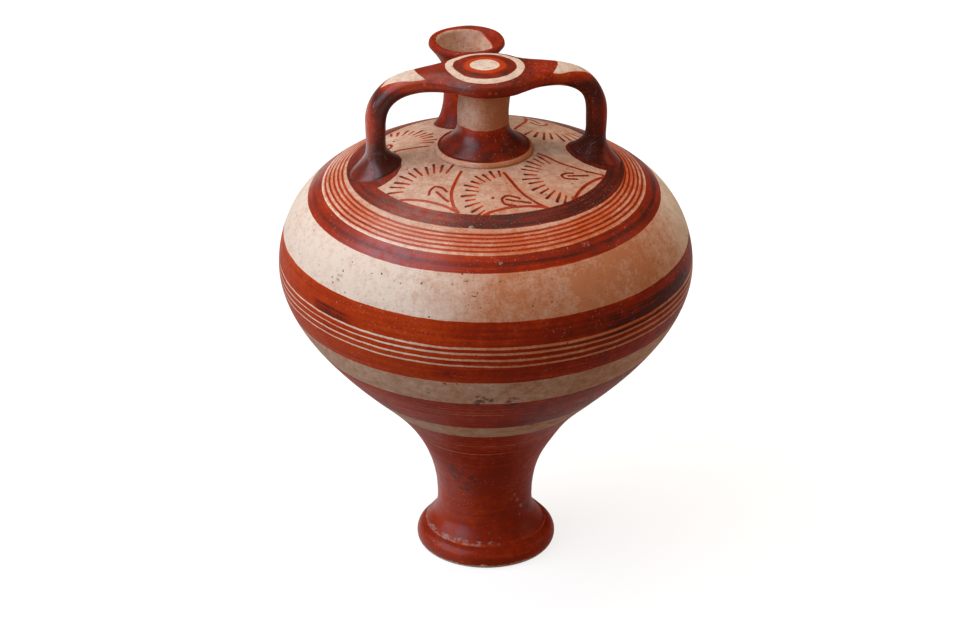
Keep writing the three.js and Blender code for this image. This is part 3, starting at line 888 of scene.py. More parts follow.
def thrown(name, outline, material, relief, segments=None):
    """A piece turned on the wheel from its outline."""
    mesh = bpy.data.meshes.new(name + "_outline")
    mesh.from_pydata([(radius * MM, 0, height * MM) for radius, height in outline.points], [], [])
    marks = mesh.attributes.new("marks", "FLOAT_VECTOR", "POINT")
    marks.data.foreach_set("vector", [part for x, z in outline.marks for part in (x, 0.0, z)])
    blank = placed(name + "_outline", mesh)
    wheel = blank.modifiers.new("wheel", "NODES")
    wheel.node_group = bpy.data.node_groups.get("potters_wheel") or wheel_tree()
    identifiers = {item.name: item.identifier for item in wheel.node_group.interface.items_tree}
    values = {
        "Segments": segments or relief.segments, "Ridge Depth": relief.ridge_depth * MM,
        "Ridge Spacing": relief.ridge_spacing * MM, "Unevenness": relief.unevenness * MM,
        "Patch": relief.patch * MM, "Seed": float(relief.seed), "Material": material,
    }
    for label, value in values.items():
        wheel[identifiers[label]] = value
    piece = finished(blank, name)
    bpy.data.meshes.remove(mesh)
    turned_outwards(piece)
    return piece


def lofted(rings, closed_ends=True):
    """Points and faces of a skin over rings. Without ends, the last ring joins the first."""
    sides = len(rings[0])
    points = np.concatenate(rings)
    faces = []
    joined = len(rings) if not closed_ends else len(rings) - 1
    for ring in range(joined):
        low, high = ring * sides, (ring + 1) % len(rings) * sides
        for side in range(sides):
            following = (side + 1) % sides
            faces.append((low + side, low + following, high + following, high + side))
    if closed_ends:
        faces.append(tuple(range(sides))[::-1])
        faces.append(tuple(range(len(points) - sides, len(points))))
    return points, faces


def ellipse(centre, first_axis, first_half, second_axis, second_half, sides, flatness=2.0):
    """A ring of points round a centre. A flatness above 2 squares it off."""
    turn = np.linspace(0, math.tau, sides, endpoint=False)
    power = 2 / flatness
    along_first = np.sign(np.cos(turn)) * np.abs(np.cos(turn)) ** power
    along_second = np.sign(np.sin(turn)) * np.abs(np.sin(turn)) ** power
    return (centre + first_half * along_first[:, None] * first_axis
            + second_half * along_second[:, None] * second_axis)


def smooth_step(value, low, high):
    """0 below low, 1 above high, and smooth between."""
    share_done = np.clip((value - low) / (high - low), 0, 1)
    return share_done * share_done * (3 - 2 * share_done)


def smoothed(points, edges, weights, rounds):
    """Points drawn towards their neighbours, each by its own weight."""
    total = len(points)
    ends = np.concatenate([edges, edges[:, ::-1]])
    neighbours = np.bincount(ends[:, 0], minlength=total)[:, None]
    for _ in range(rounds):
        sums = [np.bincount(ends[:, 0], points[ends[:, 1], axis], total) for axis in range(3)]
        middle = np.column_stack(sums) / neighbours
        points = points + weights[:, None] * (middle - points)
    return points


def merged_skin(name, meshes, voxel):
    """One even skin over closed meshes that run into each other."""
    joined = bmesh.new()
    for mesh in meshes:
        joined.from_mesh(mesh)
    clay = bpy.data.meshes.new(name)
    joined.to_mesh(clay)
    joined.free()
    lump = placed(name + "_lump", clay)
    remesh = lump.modifiers.new("skin", "REMESH")
    remesh.mode = "VOXEL"
    remesh.voxel_size = voxel * MM
    return finished(lump, name)


def with_hole(mesh, cutter):
    """A mesh with the space of another closed mesh taken away."""
    blank = placed(mesh.name + "_blank", mesh)
    tool = placed(mesh.name + "_cutter", cutter)
    cut = blank.modifiers.new("hole", "BOOLEAN")
    cut.operation = "DIFFERENCE"
    cut.solver = "MANIFOLD"
    cut.object = tool
    ready = finished(blank, mesh.name)
    bpy.data.objects.remove(tool)
    return ready


def finger_marks(points, size, depth, seed):
    """How deep fingers pressed the clay at each point: a few soft waves of one size."""
    random = np.random.default_rng(seed)
    total = np.zeros(len(points))
    for _ in range(9):
        direction = random.normal(size=3)
        direction /= np.linalg.norm(direction)
        total += np.sin(points @ direction * math.tau / size + random.uniform(0, math.tau))
    return depth * smooth_step(total, -4, 4)


def drawn_in(mesh, points, depth):
    """Points moved inwards, each by its own depth."""
    set_coordinates(mesh, points)
    normals = np.empty(len(points) * 3, np.float32)
    mesh.vertex_normals.foreach_get("vector", normals)
    return points - depth[:, None] * normals.reshape(-1, 3)


def fuller_right(mesh, fullness):
    """Stem and bowl bulge a little to the right where they meet."""
    points = coordinates(mesh)
    near_joint = np.exp(-((points[:, 2] - 44) / 8) ** 2)
    points[:, 0] += fullness * near_joint * smooth_step(points[:, 0], 0, 14)
    set_coordinates(mesh, points)


def smeared_joints(points, edges, curves):
    """Evens out the whole skin a little, and the joints at the disc and above the shoulder much more."""
    points = smoothed(points, edges, np.full(len(points), 0.5), 3)
    reach = np.abs(points[:, 0])
    beside_strap = (points[:, 2] > NECK_TOP - 6) * (np.abs(points[:, 1]) > 3.5)
    at_disc = np.exp(-((reach - 14.5) / 3.6) ** 2) * beside_strap
    rise = points[:, 2] - shoulder_height(curves, np.hypot(points[:, 0], points[:, 1]))
    at_root = np.exp(-((rise - 6) / 4.0) ** 2) * (points[:, 2] < NECK_TOP - 4)
    return smoothed(points, edges, 0.5 * np.maximum(at_disc, at_root), 40)


def leg_reach(top, side):
    """Distance of a leg's middle from the jar's axis. The right one stands a little farther in."""
    return HANDLE_OUTSIDE - top.leg_thickness / 2 - (LEG_IN if side > 0 else 0)


def strap_centre_line(top, curves, side):
    """The middle of a strap, drawn on the right, from inside the disc to below the shoulder's
    surface, with its directions. The right strap starts a little lower."""
    reach = leg_reach(top, side)
    edge_middle = NECK_TOP + top.undercut + top.edge_thickness / 2
    start = np.array([DISC_RADIUS - top.tuck_in, edge_middle - (START_LOWER if side > 0 else 0)])
    bend_end = np.array([reach, start[1] - top.bend_drop])
    level_stretch = top.top_pull + side * top.pull_aside
    controls = (start, start + (level_stretch, -top.top_drop), bend_end + (0, top.bend_pull), bend_end)
    t = np.linspace(0, 1, 60)[:, None]
    arch = ((1 - t) ** 3 * controls[0] + 3 * t * (1 - t) ** 2 * controls[1]
            + 3 * t * t * (1 - t) * controls[2] + t ** 3 * controls[3])
    inside = start - (4.0, -0.1)
    leg_end = shoulder_height(curves, reach) - 2
    leg = np.column_stack([np.full(20, reach), np.linspace(bend_end[1], leg_end, 21)[1:]])
    line = np.concatenate([[inside], arch, leg])
    directions = np.gradient(line, axis=0)
    directions /= np.linalg.norm(directions, axis=1)[:, None]
    return line, directions


def strap(name, top, curves, side):
    """A pulled strap. Side is 1 on the right and -1 on the left."""
    line, directions = strap_centre_line(top, curves, side)
    travelled = np.concatenate([[0], np.cumsum(np.linalg.norm(np.diff(line, axis=0), axis=1))])
    narrowed = smooth_step(travelled / travelled[-1], 0.05, 0.4)
    rings = []
    for (x, z), (run, fall), share_done in zip(line, directions, narrowed):
        half_width = top.end_width / 2 * (1 - share_done) + top.leg_width / 2 * share_done
        if z > NECK_TOP and x < WEB_FROM:
            half_width += WEB_SPREAD * ((WEB_FROM - x) / WEB_LENGTH) ** WEB_CURVE
        half_depth = (top.end_thickness * (1 - share_done) + top.leg_thickness * share_done) / 2
        inwards = np.array([side * fall, 0.0, -run])
        middle = np.array([side * x, 0.0, z])
        rings.append(ellipse(middle, inwards, half_depth, NORTH, half_width, 40, 2.3))
    return mesh_of(name, *lofted(rings))


def heap(name, top, curves, side):
    """Clay smeared round a strap's lower end: it draws in from a wide base to the leg."""
    middle = np.array([side * leg_reach(top, side), 0.0, 0.0])
    inner_halves = np.array([top.leg_thickness, top.leg_width]) / 2 - HEAP_UNDER_LEG
    outer_halves = np.array([top.root_half_depth, top.root_half_width])
    rings = []
    for share_done in np.concatenate([[-0.25], np.linspace(0, 1, 14)]):
        spread = (1 - max(share_done, 0)) ** HEAP_CURVE
        halves = inner_halves + (outer_halves - inner_halves) * spread
        ring = ellipse(middle, EAST, halves[0], NORTH, halves[1], 48)
        surface = shoulder_height(curves, np.hypot(ring[:, 0], ring[:, 1]))
        ring[:, 2] = surface + share_done * (top.root_height + 2)
        rings.append(ring)
    return mesh_of(name, *lofted(rings))


def spout_rings(spout, curves):
    """Closed rings up the spout's outside, over the lip and down its bore."""
    foot_height = shoulder_height(curves, spout.foot_reach)
    rise_of_mouth = spout.height + spout.higher
    lip_radius = LIP_RADIUS + spout.wider
    profile = [(TENON_RADIUS, -TENON_DEPTH), (TENON_RADIUS, -2.4), (spout.root_radius, -1.6)]
    for share_done in np.linspace(0, 1, 12):
        spread = (1 - share_done) ** HEAP_CURVE
        radius = spout.tube_radius + (spout.root_radius - spout.tube_radius) * spread
        profile.append((radius, share_done * (spout.root_height + 1)))
    flare = Curve((spout.tube_radius, rise_of_mouth - spout.flare_height), 5, math.pi / 2,
                  (lip_radius, rise_of_mouth - spout.lip_height), 3, spout.flare_angle)
    profile.extend(flare.at(np.linspace(0, 1, 18)))
    lip_top = np.array([lip_radius - spout.lip_round, rise_of_mouth])
    corner = np.array([lip_radius, rise_of_mouth])
    lip_edge = np.array([lip_radius, rise_of_mouth - spout.lip_height])
    for t in np.linspace(0, 1, 7)[1:]:
        profile.append((1 - t) ** 2 * lip_edge + 2 * t * (1 - t) * corner + t * t * lip_top)
    outer_rings = len(profile)
    mouth = np.array([spout.mouth_radius, rise_of_mouth - spout.mouth_drop])
    throat = (spout.bore_radius, rise_of_mouth - spout.funnel_depth)
    for t in np.linspace(0, 1, 6)[1:]:
        profile.append((1 - t) ** 2 * lip_top + 2 * t * (1 - t) * (lip_top - (0.7, 0)) + t * t * mouth)
    funnel = Curve(throat, 3, math.radians(80), mouth, 4, math.radians(75))
    profile.extend(funnel.at(np.linspace(1, 0, 16)[1:]))
    profile.extend([(spout.bore_radius, rise) for rise in (8.0, 0.0, -TENON_DEPTH)])
    turn = np.linspace(0, math.tau, 120, endpoint=False)
    rings = []
    for radius, rise in profile:
        reach = spout.foot_reach + (MOUTH_REACH - spout.foot_reach) * rise / spout.height
        middle = MOUTH_DIRECTION * reach
        aside = np.interp(rise, (4, spout.height - 4), (spout.aside, spout.mouth_aside))
        x = middle[0] + radius * np.cos(turn) - aside
        y = middle[1] + radius * np.sin(turn)
        follow = (1 - smooth_step(rise, 1.0, spout.root_height + 2)) * (radius > spout.tube_radius - 0.2)
        slope = shoulder_height(curves, np.hypot(x, y)) - foot_height
        rings.append(np.column_stack([x, y, foot_height + rise + follow * slope]))
    return rings, outer_rings


def spout_cutter(spout, curves):
    """The space that the spout's tenon takes in the shoulder."""
    foot_height = float(shoulder_height(curves, spout.foot_reach))
    rod = []
    for rise in (-8.0, 3.0):
        reach = MOUTH_DIRECTION * (spout.foot_reach + SPOUT_LEAN * rise)
        centre = np.array([reach[0] - spout.aside, reach[1], foot_height + rise])
        rod.append(ellipse(centre, EAST, TENON_RADIUS, NORTH, TENON_RADIUS, 64))
    cutter = mesh_of("spout_hole", *lofted(rod))
    turned_outwards(cutter)
    return cutter


def catmull(points, steps=6):
    """A smooth line through points."""
    points = np.array(points, float)
    padded = np.concatenate([[2 * points[0] - points[1]], points, [2 * points[-1] - points[-2]]])
    line = []
    for before, start, end, after in zip(padded, padded[1:], padded[2:], padded[3:]):
        for t in np.linspace(0, 1, steps, endpoint=False):
            line.append(0.5 * (2 * start + (end - before) * t
                               + (2 * before - 5 * start + 4 * end - after) * t * t
                               + (3 * start - before - 3 * end + after) * t ** 3))
    return np.array(line + [points[-1]])


def fringe(flower, first_angle, last_angle, aside, outer_radius):
    """Short strokes that stand round an arc, each a line with its two half widths and its ink."""
    strokes = []
    middle = np.array([flower.fringe_aside + aside, flower.fringe_in])
    for index, turn in enumerate(np.radians(np.arange(first_angle, last_angle + 0.1, flower.fringe_step))):
        lean = turn + 0.05 * math.sin(2.3 * index)
        inner = flower.fringe_inner + 0.5 * math.sin(1.7 * index + 0.6)
        outer = outer_radius + 0.6 * math.sin(2.9 * index)
        start = middle + inner * np.array([math.cos(turn), math.sin(turn)])
        end = start + (outer - inner) * np.array([math.cos(lean), math.sin(lean)])
        width = flower.fringe_width * (1 + 0.12 * math.sin(4.1 * index))
        strokes.append((np.array([start, end]), width * 0.36, width * 0.5, 0.34, 0.95))
    return strokes


def brush_line(points, width, ink):
    """A painted line that thins out a little at its ends."""
    return catmull(points), width / 2, width / 2, ink, ink


def flower_strokes(flower):
    """For each flower, its angle round the jar and its strokes, in its own plan."""
    for place, side_line, curls, spread, aside, outer_radius in FLOWERS:
        lines = [brush_line(line, flower.line_width, 0.44) for line in (LOW_LINE, side_line)]
        lines += [brush_line(curl, flower.line_width * 0.85, 0.6) for curl in curls]
        yield math.radians(place), lines + fringe(flower, *spread, aside, outer_radius)


def painted_flowers(points, flower):
    """For each point of the shoulder, how far outside a stroke it lies, and that stroke's ink."""
    edge = np.full(len(points), 4.0)
    ink = np.full(len(points), 0.5)
    on_top = np.flatnonzero((np.hypot(points[:, 0], points[:, 1]) < 46) & (points[:, 2] > BELLY_HEIGHT + 20))
    for turn, strokes in flower_strokes(flower):
        outwards = np.array([math.cos(turn), math.sin(turn)])
        clockwise = np.array([math.sin(turn), -math.cos(turn)])
        plan = points[on_top, :2] - flower.apex_radius * outwards
        local = np.column_stack([plan @ clockwise, -plan @ outwards])
        for line, start_half, end_half, start_ink, end_ink in strokes:
            for index, (start, end) in enumerate(zip(line, line[1:])):
                leg = end - start
                t = np.clip((local - start) @ leg / (leg @ leg), 0, 1)
                gap = np.linalg.norm(local - start - t[:, None] * leg, axis=1)
                along = (index + t) / (len(line) - 1)
                gap -= start_half + (end_half - start_half) * along
                nearer = gap < edge[on_top]
                chosen = on_top[nearer]
                edge[chosen] = gap[nearer]
                ink[chosen] = (start_ink + (end_ink - start_ink) * along * along)[nearer]
    return edge, ink


class Surface:
    """A material's tree, with the places on the jar that its paint is laid out by, in millimetres."""

    def __init__(self, name):
        self.material = bpy.data.materials.new(name)
        self.material.use_nodes = True
        self.material.node_tree.nodes.clear()
        self.bench = bench = Bench(self.material.node_tree)
        place = bench.node("ShaderNodeTexCoord", None, None, "Object")
        self.spot = bench.scaled(place, (1 / MM, 1 / MM, 1 / MM))
        self.x = bench.separate(self.spot)
        self.y, self.z = self.x.output("Y"), self.x.output("Z")
        self.radius = bench.distance(self.x, self.y)
        self.around = bench.math("ARCTAN2", self.y, self.x)

    def attribute(self, name):
        return self.bench.node("ShaderNodeAttribute", {"attribute_name": name}, None, "Fac")

    def wander(self, size, reach, seed):
        """A soft number from -reach to reach."""
        return (self.bench.noise(self.spot, size, 2.0, 0.5, seed) - 0.5) * (2 * reach)

    def streaks(self, along, size, seed):
        """Brush streaks that run round the jar: fine across, long along."""
        long_way = self.bench.vector(self.x * 0.035, self.y * 0.035, along * (1 / size))
        return self.bench.noise(long_way, 1.0, 3.0, 0.6, seed)

    def off_centre(self, centre_x, centre_y):
        """Distance from an upright line."""
        return self.bench.distance(self.x - centre_x, self.y - centre_y)

    def toward(self, turn):
        """1 on the side of the jar at a turn, -1 on the far side: the cosine of the angle between."""
        return self.bench.math("COSINE", self.around - turn)

    def needles(self, direction, seed):
        """Thin straight scratches that lie along a direction."""
        bench = self.bench
        along = Vector(direction).normalized()
        side = along.cross(Vector((0, 0, 1))).normalized()
        other = along.cross(side)
        parts = []
        for axis, size in ((along, 9.0), (side, 0.55), (other, 0.55)):
            settings = {"operation": "DOT_PRODUCT"}
            inputs = {0: self.spot, 1: axis / size}
            parts.append(bench.node("ShaderNodeVectorMath", settings, inputs, "Value"))
        return bench.step(bench.noise(bench.vector(*parts), 1.0, 1.0, 0.4, seed), 0.73, 0.78)

    def blot(self, place, size, ragged=0.4):
        """1 at a place, and 0 farther from it than a size, with a ragged edge."""
        settings = {"operation": "DISTANCE"}
        away = self.bench.node("ShaderNodeVectorMath", settings, {0: self.spot, 1: place}, "Value")
        away = away + self.wander(size * 0.7, size * ragged, place[0])
        return self.bench.step(away, size, size * 0.5)

    def blots(self, *places):
        """Blots given as x, y, z and size."""
        total = 0.0
        for x, y, z, size in places:
            total = total + self.blot((x, y, z), size)
        return self.bench.clamped(total)

    def ring(self, measure, low, high, soft=0.25):
        """1 between two measures."""
        bench = self.bench
        return bench.step(measure, low - soft, low + soft) * bench.step(measure, high + soft, high - soft)


def fired(surface, colours, slip, streaks, dirt, flush_and_shade, scuffs, stains=0.0, lustre=0.6):
    """The look of fired clay under slip. Slip is its thickness, streaks its brush marks, dirt the earth
    in the pores, flush_and_shade the clay's pinkish tinge together with the painted shade that a caller
    lays into it, scuffs a pale film, stains a dark one and lustre the slip's sheen."""
    bench = surface.bench
    patches = bench.noise(surface.spot, 15.0, 3.0, 0.55, 3.0)
    mottle = bench.noise(surface.spot, 2.8, 5.0, 0.62, 11.0)
    grain = bench.noise(surface.spot, 0.75, 3.0, 0.65, 5.0)
    clusters = bench.step(bench.noise(surface.spot, 12.0, 3.0, 0.6, 29.0), 0.46, 0.64)
    specks = bench.step(bench.noise(surface.spot, 0.6, 2.0, 0.6, 21.0), 0.61, 0.72)
    specks = specks * (0.12 + 0.88 * clusters)
    flakes = bench.step(bench.noise(surface.spot, 2.3, 3.0, 0.6, 23.0), 0.66, 0.71)
    flakes = flakes * (0.15 + 0.85 * clusters)
    needles = 0.0
    for seed, turn in ((17.0, (0.5, 0.3, 0.9)), (19.0, (-0.9, 0.2, -0.5))):
        needles = needles + surface.needles(turn, seed)
    hairs = bench.clamped(needles)

    uneven = (streaks - 0.5) * 1.3 + (patches - 0.5) * 0.9 + (mottle - 0.5) * 0.9 + (grain - 0.5) * 0.35
    amount = bench.clamped(slip * (1.0 + uneven) - flakes * slip * 0.55)
    cover = bench.step(amount, 0.05, 0.17)
    stops = ((0.0, colours.slip_wash), (0.28, colours.slip_thin), (0.52, colours.slip),
             (0.76, colours.slip_thick), (1.0, colours.slip_dark))
    slip_colour = bench.node("ShaderNodeValToRGB", {"stops": stops}, {"Fac": amount}, "Color")

    # Pinkish tinge of the clay at random, plus painted shade where a caller raises it on the side away from
    # the window lamp
    pink_and_shade = bench.clamped((patches - 0.47) * 0.9 + (mottle - 0.5) * 0.8 + (grain - 0.5) * 0.7 + flush_and_shade) * 0.92
    clay = bench.blend(pink_and_shade, (*colours.clay, 1), (*colours.clay_flush, 1))
    clay = bench.blend(bench.clamped((mottle - 0.50) * 2.2) * 0.20, clay, (*colours.clay_dirt, 1))
    pits = bench.step(bench.noise(surface.spot, 1.3, 1.0, 0.5, 41.0), 0.725, 0.76)
    marks = bench.clamped((grain - 0.55) * 4) * 0.34 + hairs * 0.22 + pits * 0.9
    earth = bench.clamped(dirt * (0.35 + 0.9 * (mottle - 0.35)) + marks)
    clay = bench.blend(earth, clay, (*colours.clay_dirt, 1))

    painted = bench.blend(bench.clamped((grain - 0.5) * 3.0) * 0.26, slip_colour, (*colours.slip_dark, 1))
    worn = bench.clamped(specks * 0.44 + hairs * 0.34)
    painted = bench.blend(worn, painted, (*colours.film, 1))
    colour_here = bench.blend(cover, clay, painted)
    film = bench.step(scuffs + (mottle - 0.5) * 3.0 + (grain - 0.5), 0.75, 1.35) * bench.clamped(scuffs * 2)
    colour_here = bench.blend(film * 0.5, colour_here, (*colours.film, 1))
    soot = bench.step(stains + (mottle - 0.5) * 3.0 + (grain - 0.5), 0.75, 1.45) * bench.clamped(stains * 2)
    colour_here = bench.blend(soot * 0.75, colour_here, (*colours.soot, 1))

    matt = 0.62 - cover * 0.12 + (mottle - 0.5) * 0.2
    # Painted sheen: the coat is full on the side where the window lamp's highlight falls and faint elsewhere
    painted_sheen_side = bench.step(surface.toward(colours.polish_turn), 0.5, 0.9)
    sheen = cover * (1 - worn) * (1 - film) * (0.45 + 0.55 * bench.step(mottle, 0.35, 0.6)) * lustre
    sheen = sheen * (0.16 + 0.84 * painted_sheen_side)
    relief = amount * 0.03 + grain * 0.035 + mottle * 0.05 - pits * 0.12 - flakes * slip * 0.03
    bump = bench.node("ShaderNodeBump", None, {"Strength": 1.0, "Distance": MM, "Height": relief})
    shader = bench.node("ShaderNodeBsdfPrincipled", None, {
        "Base Color": colour_here, "Roughness": bench.clamped(matt), "Normal": bump,
        "Specular IOR Level": 0.03, "Coat Weight": bench.clamped(sheen), "Coat Roughness": 0.30})
    bench.node("ShaderNodeOutputMaterial", None, {"Surface": shader})
    return surface.material


class RingPlan:
    """Where the rings of slip lie on the body. Their measure runs along the outline: height, less what
    the outline draws in below the belly, plus what it draws in above."""

    def __init__(self, surface, curves, bands):
        self.curves = curves
        self.surface = surface
        bench = surface.bench
        upper = bench.step(surface.z, BELLY_HEIGHT - 0.01, BELLY_HEIGHT + 0.01) * 2 - 1
        self.along = along = surface.z + upper * (BELLY_RADIUS - surface.radius)
        level = along + surface.wander(14.0, 0.45, 51.0) + surface.wander(1.7, 0.16, 53.0)

        def off_centre(turn):
            return math.cos(bands.front - turn) - surface.toward(turn)

        self.dark_level = level - off_centre(bands.high_shift_turn) * bands.dark_shift
        below = bench.step(along, 100, 88)
        belly = bench.step(along, 88, 100) * bench.step(along, 136, 124)
        above = bench.step(along, 124, 136)
        for weight, reach, turn in ((below, bands.low_shift, bands.low_shift_turn),
                                    (belly, bands.belly_shift, bands.belly_shift_turn),
                                    (above, bands.high_shift, bands.high_shift_turn)):
            level = level - weight * off_centre(turn) * reach
        self.level = level

    def low(self, height):
        """The measure at a height below the belly."""
        curve = self.curves.stem if height < self.curves.flank.points[0][1] else self.curves.flank
        radius = curve.at(curve.share_where(1, height))[0][0]
        return height - (BELLY_RADIUS - radius)

    def high(self, radius):
        """The measure at a radius above the belly."""
        return float(shoulder_height(self.curves, radius)) + BELLY_RADIUS - radius

    def ring(self, first, last, soft=0.25):
        """1 from one measure to another."""
        return self.surface.ring(self.level, first, last, soft)

    def line(self, middle, half, soft):
        """1 within half a width of a measure."""
        return self.surface.ring(self.level, middle - half, middle + half, soft)


def ring_slip(plan, bands):
    """Slip of the rings: red below the belly and on it, scorched patches, lines scraped into the red,
    and above the belly the wide band, the thin lines and the dark band."""
    surface, bench, low, high = plan.surface, plan.surface.bench, plan.low, plan.high
    slip = plan.ring(BELOW_THE_JAR, low(bands.foot_red_top)) * 0.56
    slip = slip + plan.ring(low(bands.lower_red_bottom), low(bands.lower_red_top)) * 0.58
    belly_bottom = low(bands.belly_bottom)
    slip = slip + plan.ring(belly_bottom, high(bands.belly_top_radius)) * 0.40
    scorched = bench.step(surface.streaks(plan.along, 1.0, 9.0), 0.36, 0.56)
    for turn, spread, first, last, strength in SCORCHES:
        rim, core = math.cos(math.radians(spread)), math.cos(math.radians(spread * 0.45))
        patch = bench.step(surface.toward(math.radians(turn)), rim, core)
        patch = patch * plan.ring(belly_bottom + first, belly_bottom + last, 0.7)
        slip = slip + patch * scorched * strength
    half = bands.scraped_width * (0.5 + 0.22 * surface.toward(-0.7))
    for height in np.linspace(bands.first_scraped, bands.last_scraped, 4):
        slip = slip * (1 - plan.line(low(height), half, 0.16) * 0.90)
    for height, strength in THROWING_LINES:
        broken = bench.step(surface.streaks(plan.along * 0.1, 1.0, height), 0.34, 0.48)
        slip = slip * (1 - plan.line(low(height), 0.19, 0.13) * broken * strength)
    slip = slip + plan.ring(high(bands.wide_outer), high(bands.wide_inner)) * 0.52
    slip = slip + plan.ring(high(bands.wide_outer - 1.6), high(bands.wide_inner + 2.0), 0.8) * 0.20
    for index, radius in enumerate(np.linspace(bands.lines_outer, bands.lines_inner, 5)):
        strength = 0.40 + 0.05 * math.sin(2.1 * index)
        slip = slip + plan.line(high(radius), bands.line_width / 2, 0.26) * strength
    slip = slip + plan.ring(high(bands.lines_outer + 1), high(bands.lines_inner - 1), 1.0) * 0.11
    dark = surface.ring(plan.dark_level, high(bands.dark_outer), high(bands.dark_inner), 0.3)
    return bench.most(slip, dark * 0.80)


def shoulder_slip(plan, bands, slip):
    """The rings with the paint round the handles' and the spout's feet, and the flowers."""
    surface, bench = plan.surface, plan.surface.bench
    on_left = bench.step(surface.x, 5, -5)
    middle = bands.root_paint_reach + on_left * bands.root_paint_left
    east = (abs(surface.x) - middle) / bands.root_paint_depth
    north = (surface.y + bands.root_paint_drop + on_left * bands.root_paint_fall) / bands.root_paint_width
    root = bench.distance(east, north) * bands.root_paint_depth + surface.wander(5.0, 0.5, 61.0)
    round_roots = bench.step(root, bands.root_paint_depth + 0.2, bands.root_paint_depth - 0.2)
    dark_edge = plan.high(bands.dark_outer)
    round_roots = round_roots * bench.step(plan.dark_level, dark_edge - 0.3, dark_edge + 0.3)
    round_spout = surface.off_centre(-3.0, 27.6) + surface.wander(5.0, 0.5, 63.0)
    slip = bench.most(slip, bench.most(round_roots, bench.step(round_spout, 10.5, 10.2)) * 0.74)
    stroke = surface.attribute("stroke_edge") + surface.wander(1.0, 0.14, 65.0)
    ink = surface.attribute("stroke_ink") + surface.wander(2.4, 0.22, 67.0)
    return bench.most(slip, bench.step(stroke, 0.12, -0.12) * ink)


def body_paint(name, curves, bands, colours, on_shoulder=False):
    """The painted and worn surface of stem, bowl or shoulder."""
    surface = Surface(name)
    bench, z = surface.bench, surface.z
    plan = RingPlan(surface, curves, bands)
    along = plan.along
    slip = ring_slip(plan, bands)
    if on_shoulder:
        slip = shoulder_slip(plan, bands, slip)
    # Painted shade: thicker, darker slip on the side away from the window lamp, above the lower rings and
    # most on the belly
    painted_shade_side = bench.step(surface.toward(colours.dark_turn), -0.45, 0.9)
    on_belly = bench.step(along, 140, 126) * bench.step(along, 86, 96)
    slip = slip * (0.92 + painted_shade_side * (0.24 * bench.step(z, 50, 66) + 0.42 * on_belly))
    streaks = 0.5 + (surface.streaks(along, 1.3, 2.0) - 0.5) * (0.45 + 0.55 * bench.step(z, 40, 62))

    low_zone, zone = bench.step(along, 104, 92), bench.step(along, 148, 158)
    dirt = low_zone * 0.42 + bench.step(along, 150, 166) * 0.26 + 0.12
    # Painted shade: darker, oranger clay towards the front right, away from the window lamp, fading in the
    # zones; the zones' and the blot's tinge is the clay's own
    flush_and_shade = bench.step(surface.toward(colours.flush_turn), 0.5, 1.0) * (0.92 - (zone + low_zone) * 0.76)
    flush_and_shade = flush_and_shade + (low_zone + zone) * 0.50 + surface.blot(PINK_BLOT, 4.2, 0.6) * 0.22
    lustre = 0.02 + bench.step(along, 128, 142) + 0.45 * bench.step(z, 44, 26)
    worn_side = 0.3 + 0.7 * bench.step(surface.toward(math.radians(SCUFFED_TURN)), 0.2, 0.8)
    above_foot = bench.step(z, FOOT_TOP + 1.5, FOOT_TOP + 0.5)
    scuffs = bench.most(surface.blots(*BODY_SCUFFS), 0.9 * worn_side * above_foot)
    scuffs = bench.most(scuffs, 0.17 * bench.most(bench.step(z, 60, 50), bench.step(along, 150, 153)))
    stains = bench.most(bench.clamped(surface.blots(*BODY_STAINS) * 1.5), surface.blots(*BODY_DOTS))
    return fired(surface, colours, slip, streaks, dirt, flush_and_shade, scuffs, stains, lustre)


def foot_paint(colours):
    """Red slip on the foot, worn at its lower edge, and bare clay beneath."""
    surface = Surface("foot_slip")
    bench = surface.bench
    edge = surface.z + surface.wander(3.5, 1.4, 71.0) + surface.wander(0.9, 0.4, 73.0)
    slip = bench.step(edge, 1.3, 1.8) * 0.48
    groove = surface.ring(surface.z + surface.wander(6.0, 0.3, 75.0), FOOT_TOP - 1.0, FOOT_TOP + 0.3, 0.35)
    left_side = 0.5 + 0.5 * bench.step(surface.toward(math.radians(WORN_TURN)), 0.1, 0.7)
    worn = bench.step(bench.noise(surface.spot, 2.4, 4.0, 0.6, 77.0), 0.38, 0.50) * groove * left_side
    inside = bench.step(surface.radius, 17.0, 16.2)
    slip = slip * (1 - worn * 0.5) * (1 - inside)
    stains = surface.blots(*FOOT_STAINS) * 0.8
    streaks = surface.streaks(surface.z, 1.4, 2.0)
    return fired(surface, colours, slip, streaks, dirt=0.2 + inside * 0.3, flush_and_shade=0.3, scuffs=worn,
                 stains=stains, lustre=0.45)


def neck_paint(sizes, bands, colours):
    """Bare clay above, and dark slip on the flare with a wavy edge."""
    surface = Surface("neck_slip")
    bench = surface.bench
    edge = surface.z + surface.wander(9.0, 0.9, 81.0) + surface.wander(1.5, 0.2, 83.0)
    rim = surface.off_centre(-sizes.base_lean, 0) + surface.wander(6.0, 0.3, 85.0)
    slip_top = COLLAR_TOP + bands.neck_slip
    slip = bench.step(edge, slip_top + 0.7, slip_top)
    slip = slip * bench.step(rim, NECK_FLARE_RADIUS + 0.75, NECK_FLARE_RADIUS + 0.35)
    thick = 0.48 + 0.24 * bench.step(surface.z, slip_top, slip_top - 4)
    streaks = bench.noise(surface.spot, 5.0, 4.0, 0.6, 4.0)
    # Painted shade: the neck's bare clay turns darker and oranger towards the right, away from the window
    # lamp
    shade_toward_right = bench.step(surface.x, -8, 2)
    flush_and_shade = 0.60 + shade_toward_right * 0.50
    return fired(surface, colours, slip * thick, streaks, dirt=0.08, flush_and_shade=flush_and_shade, scuffs=0.22, lustre=0.7)


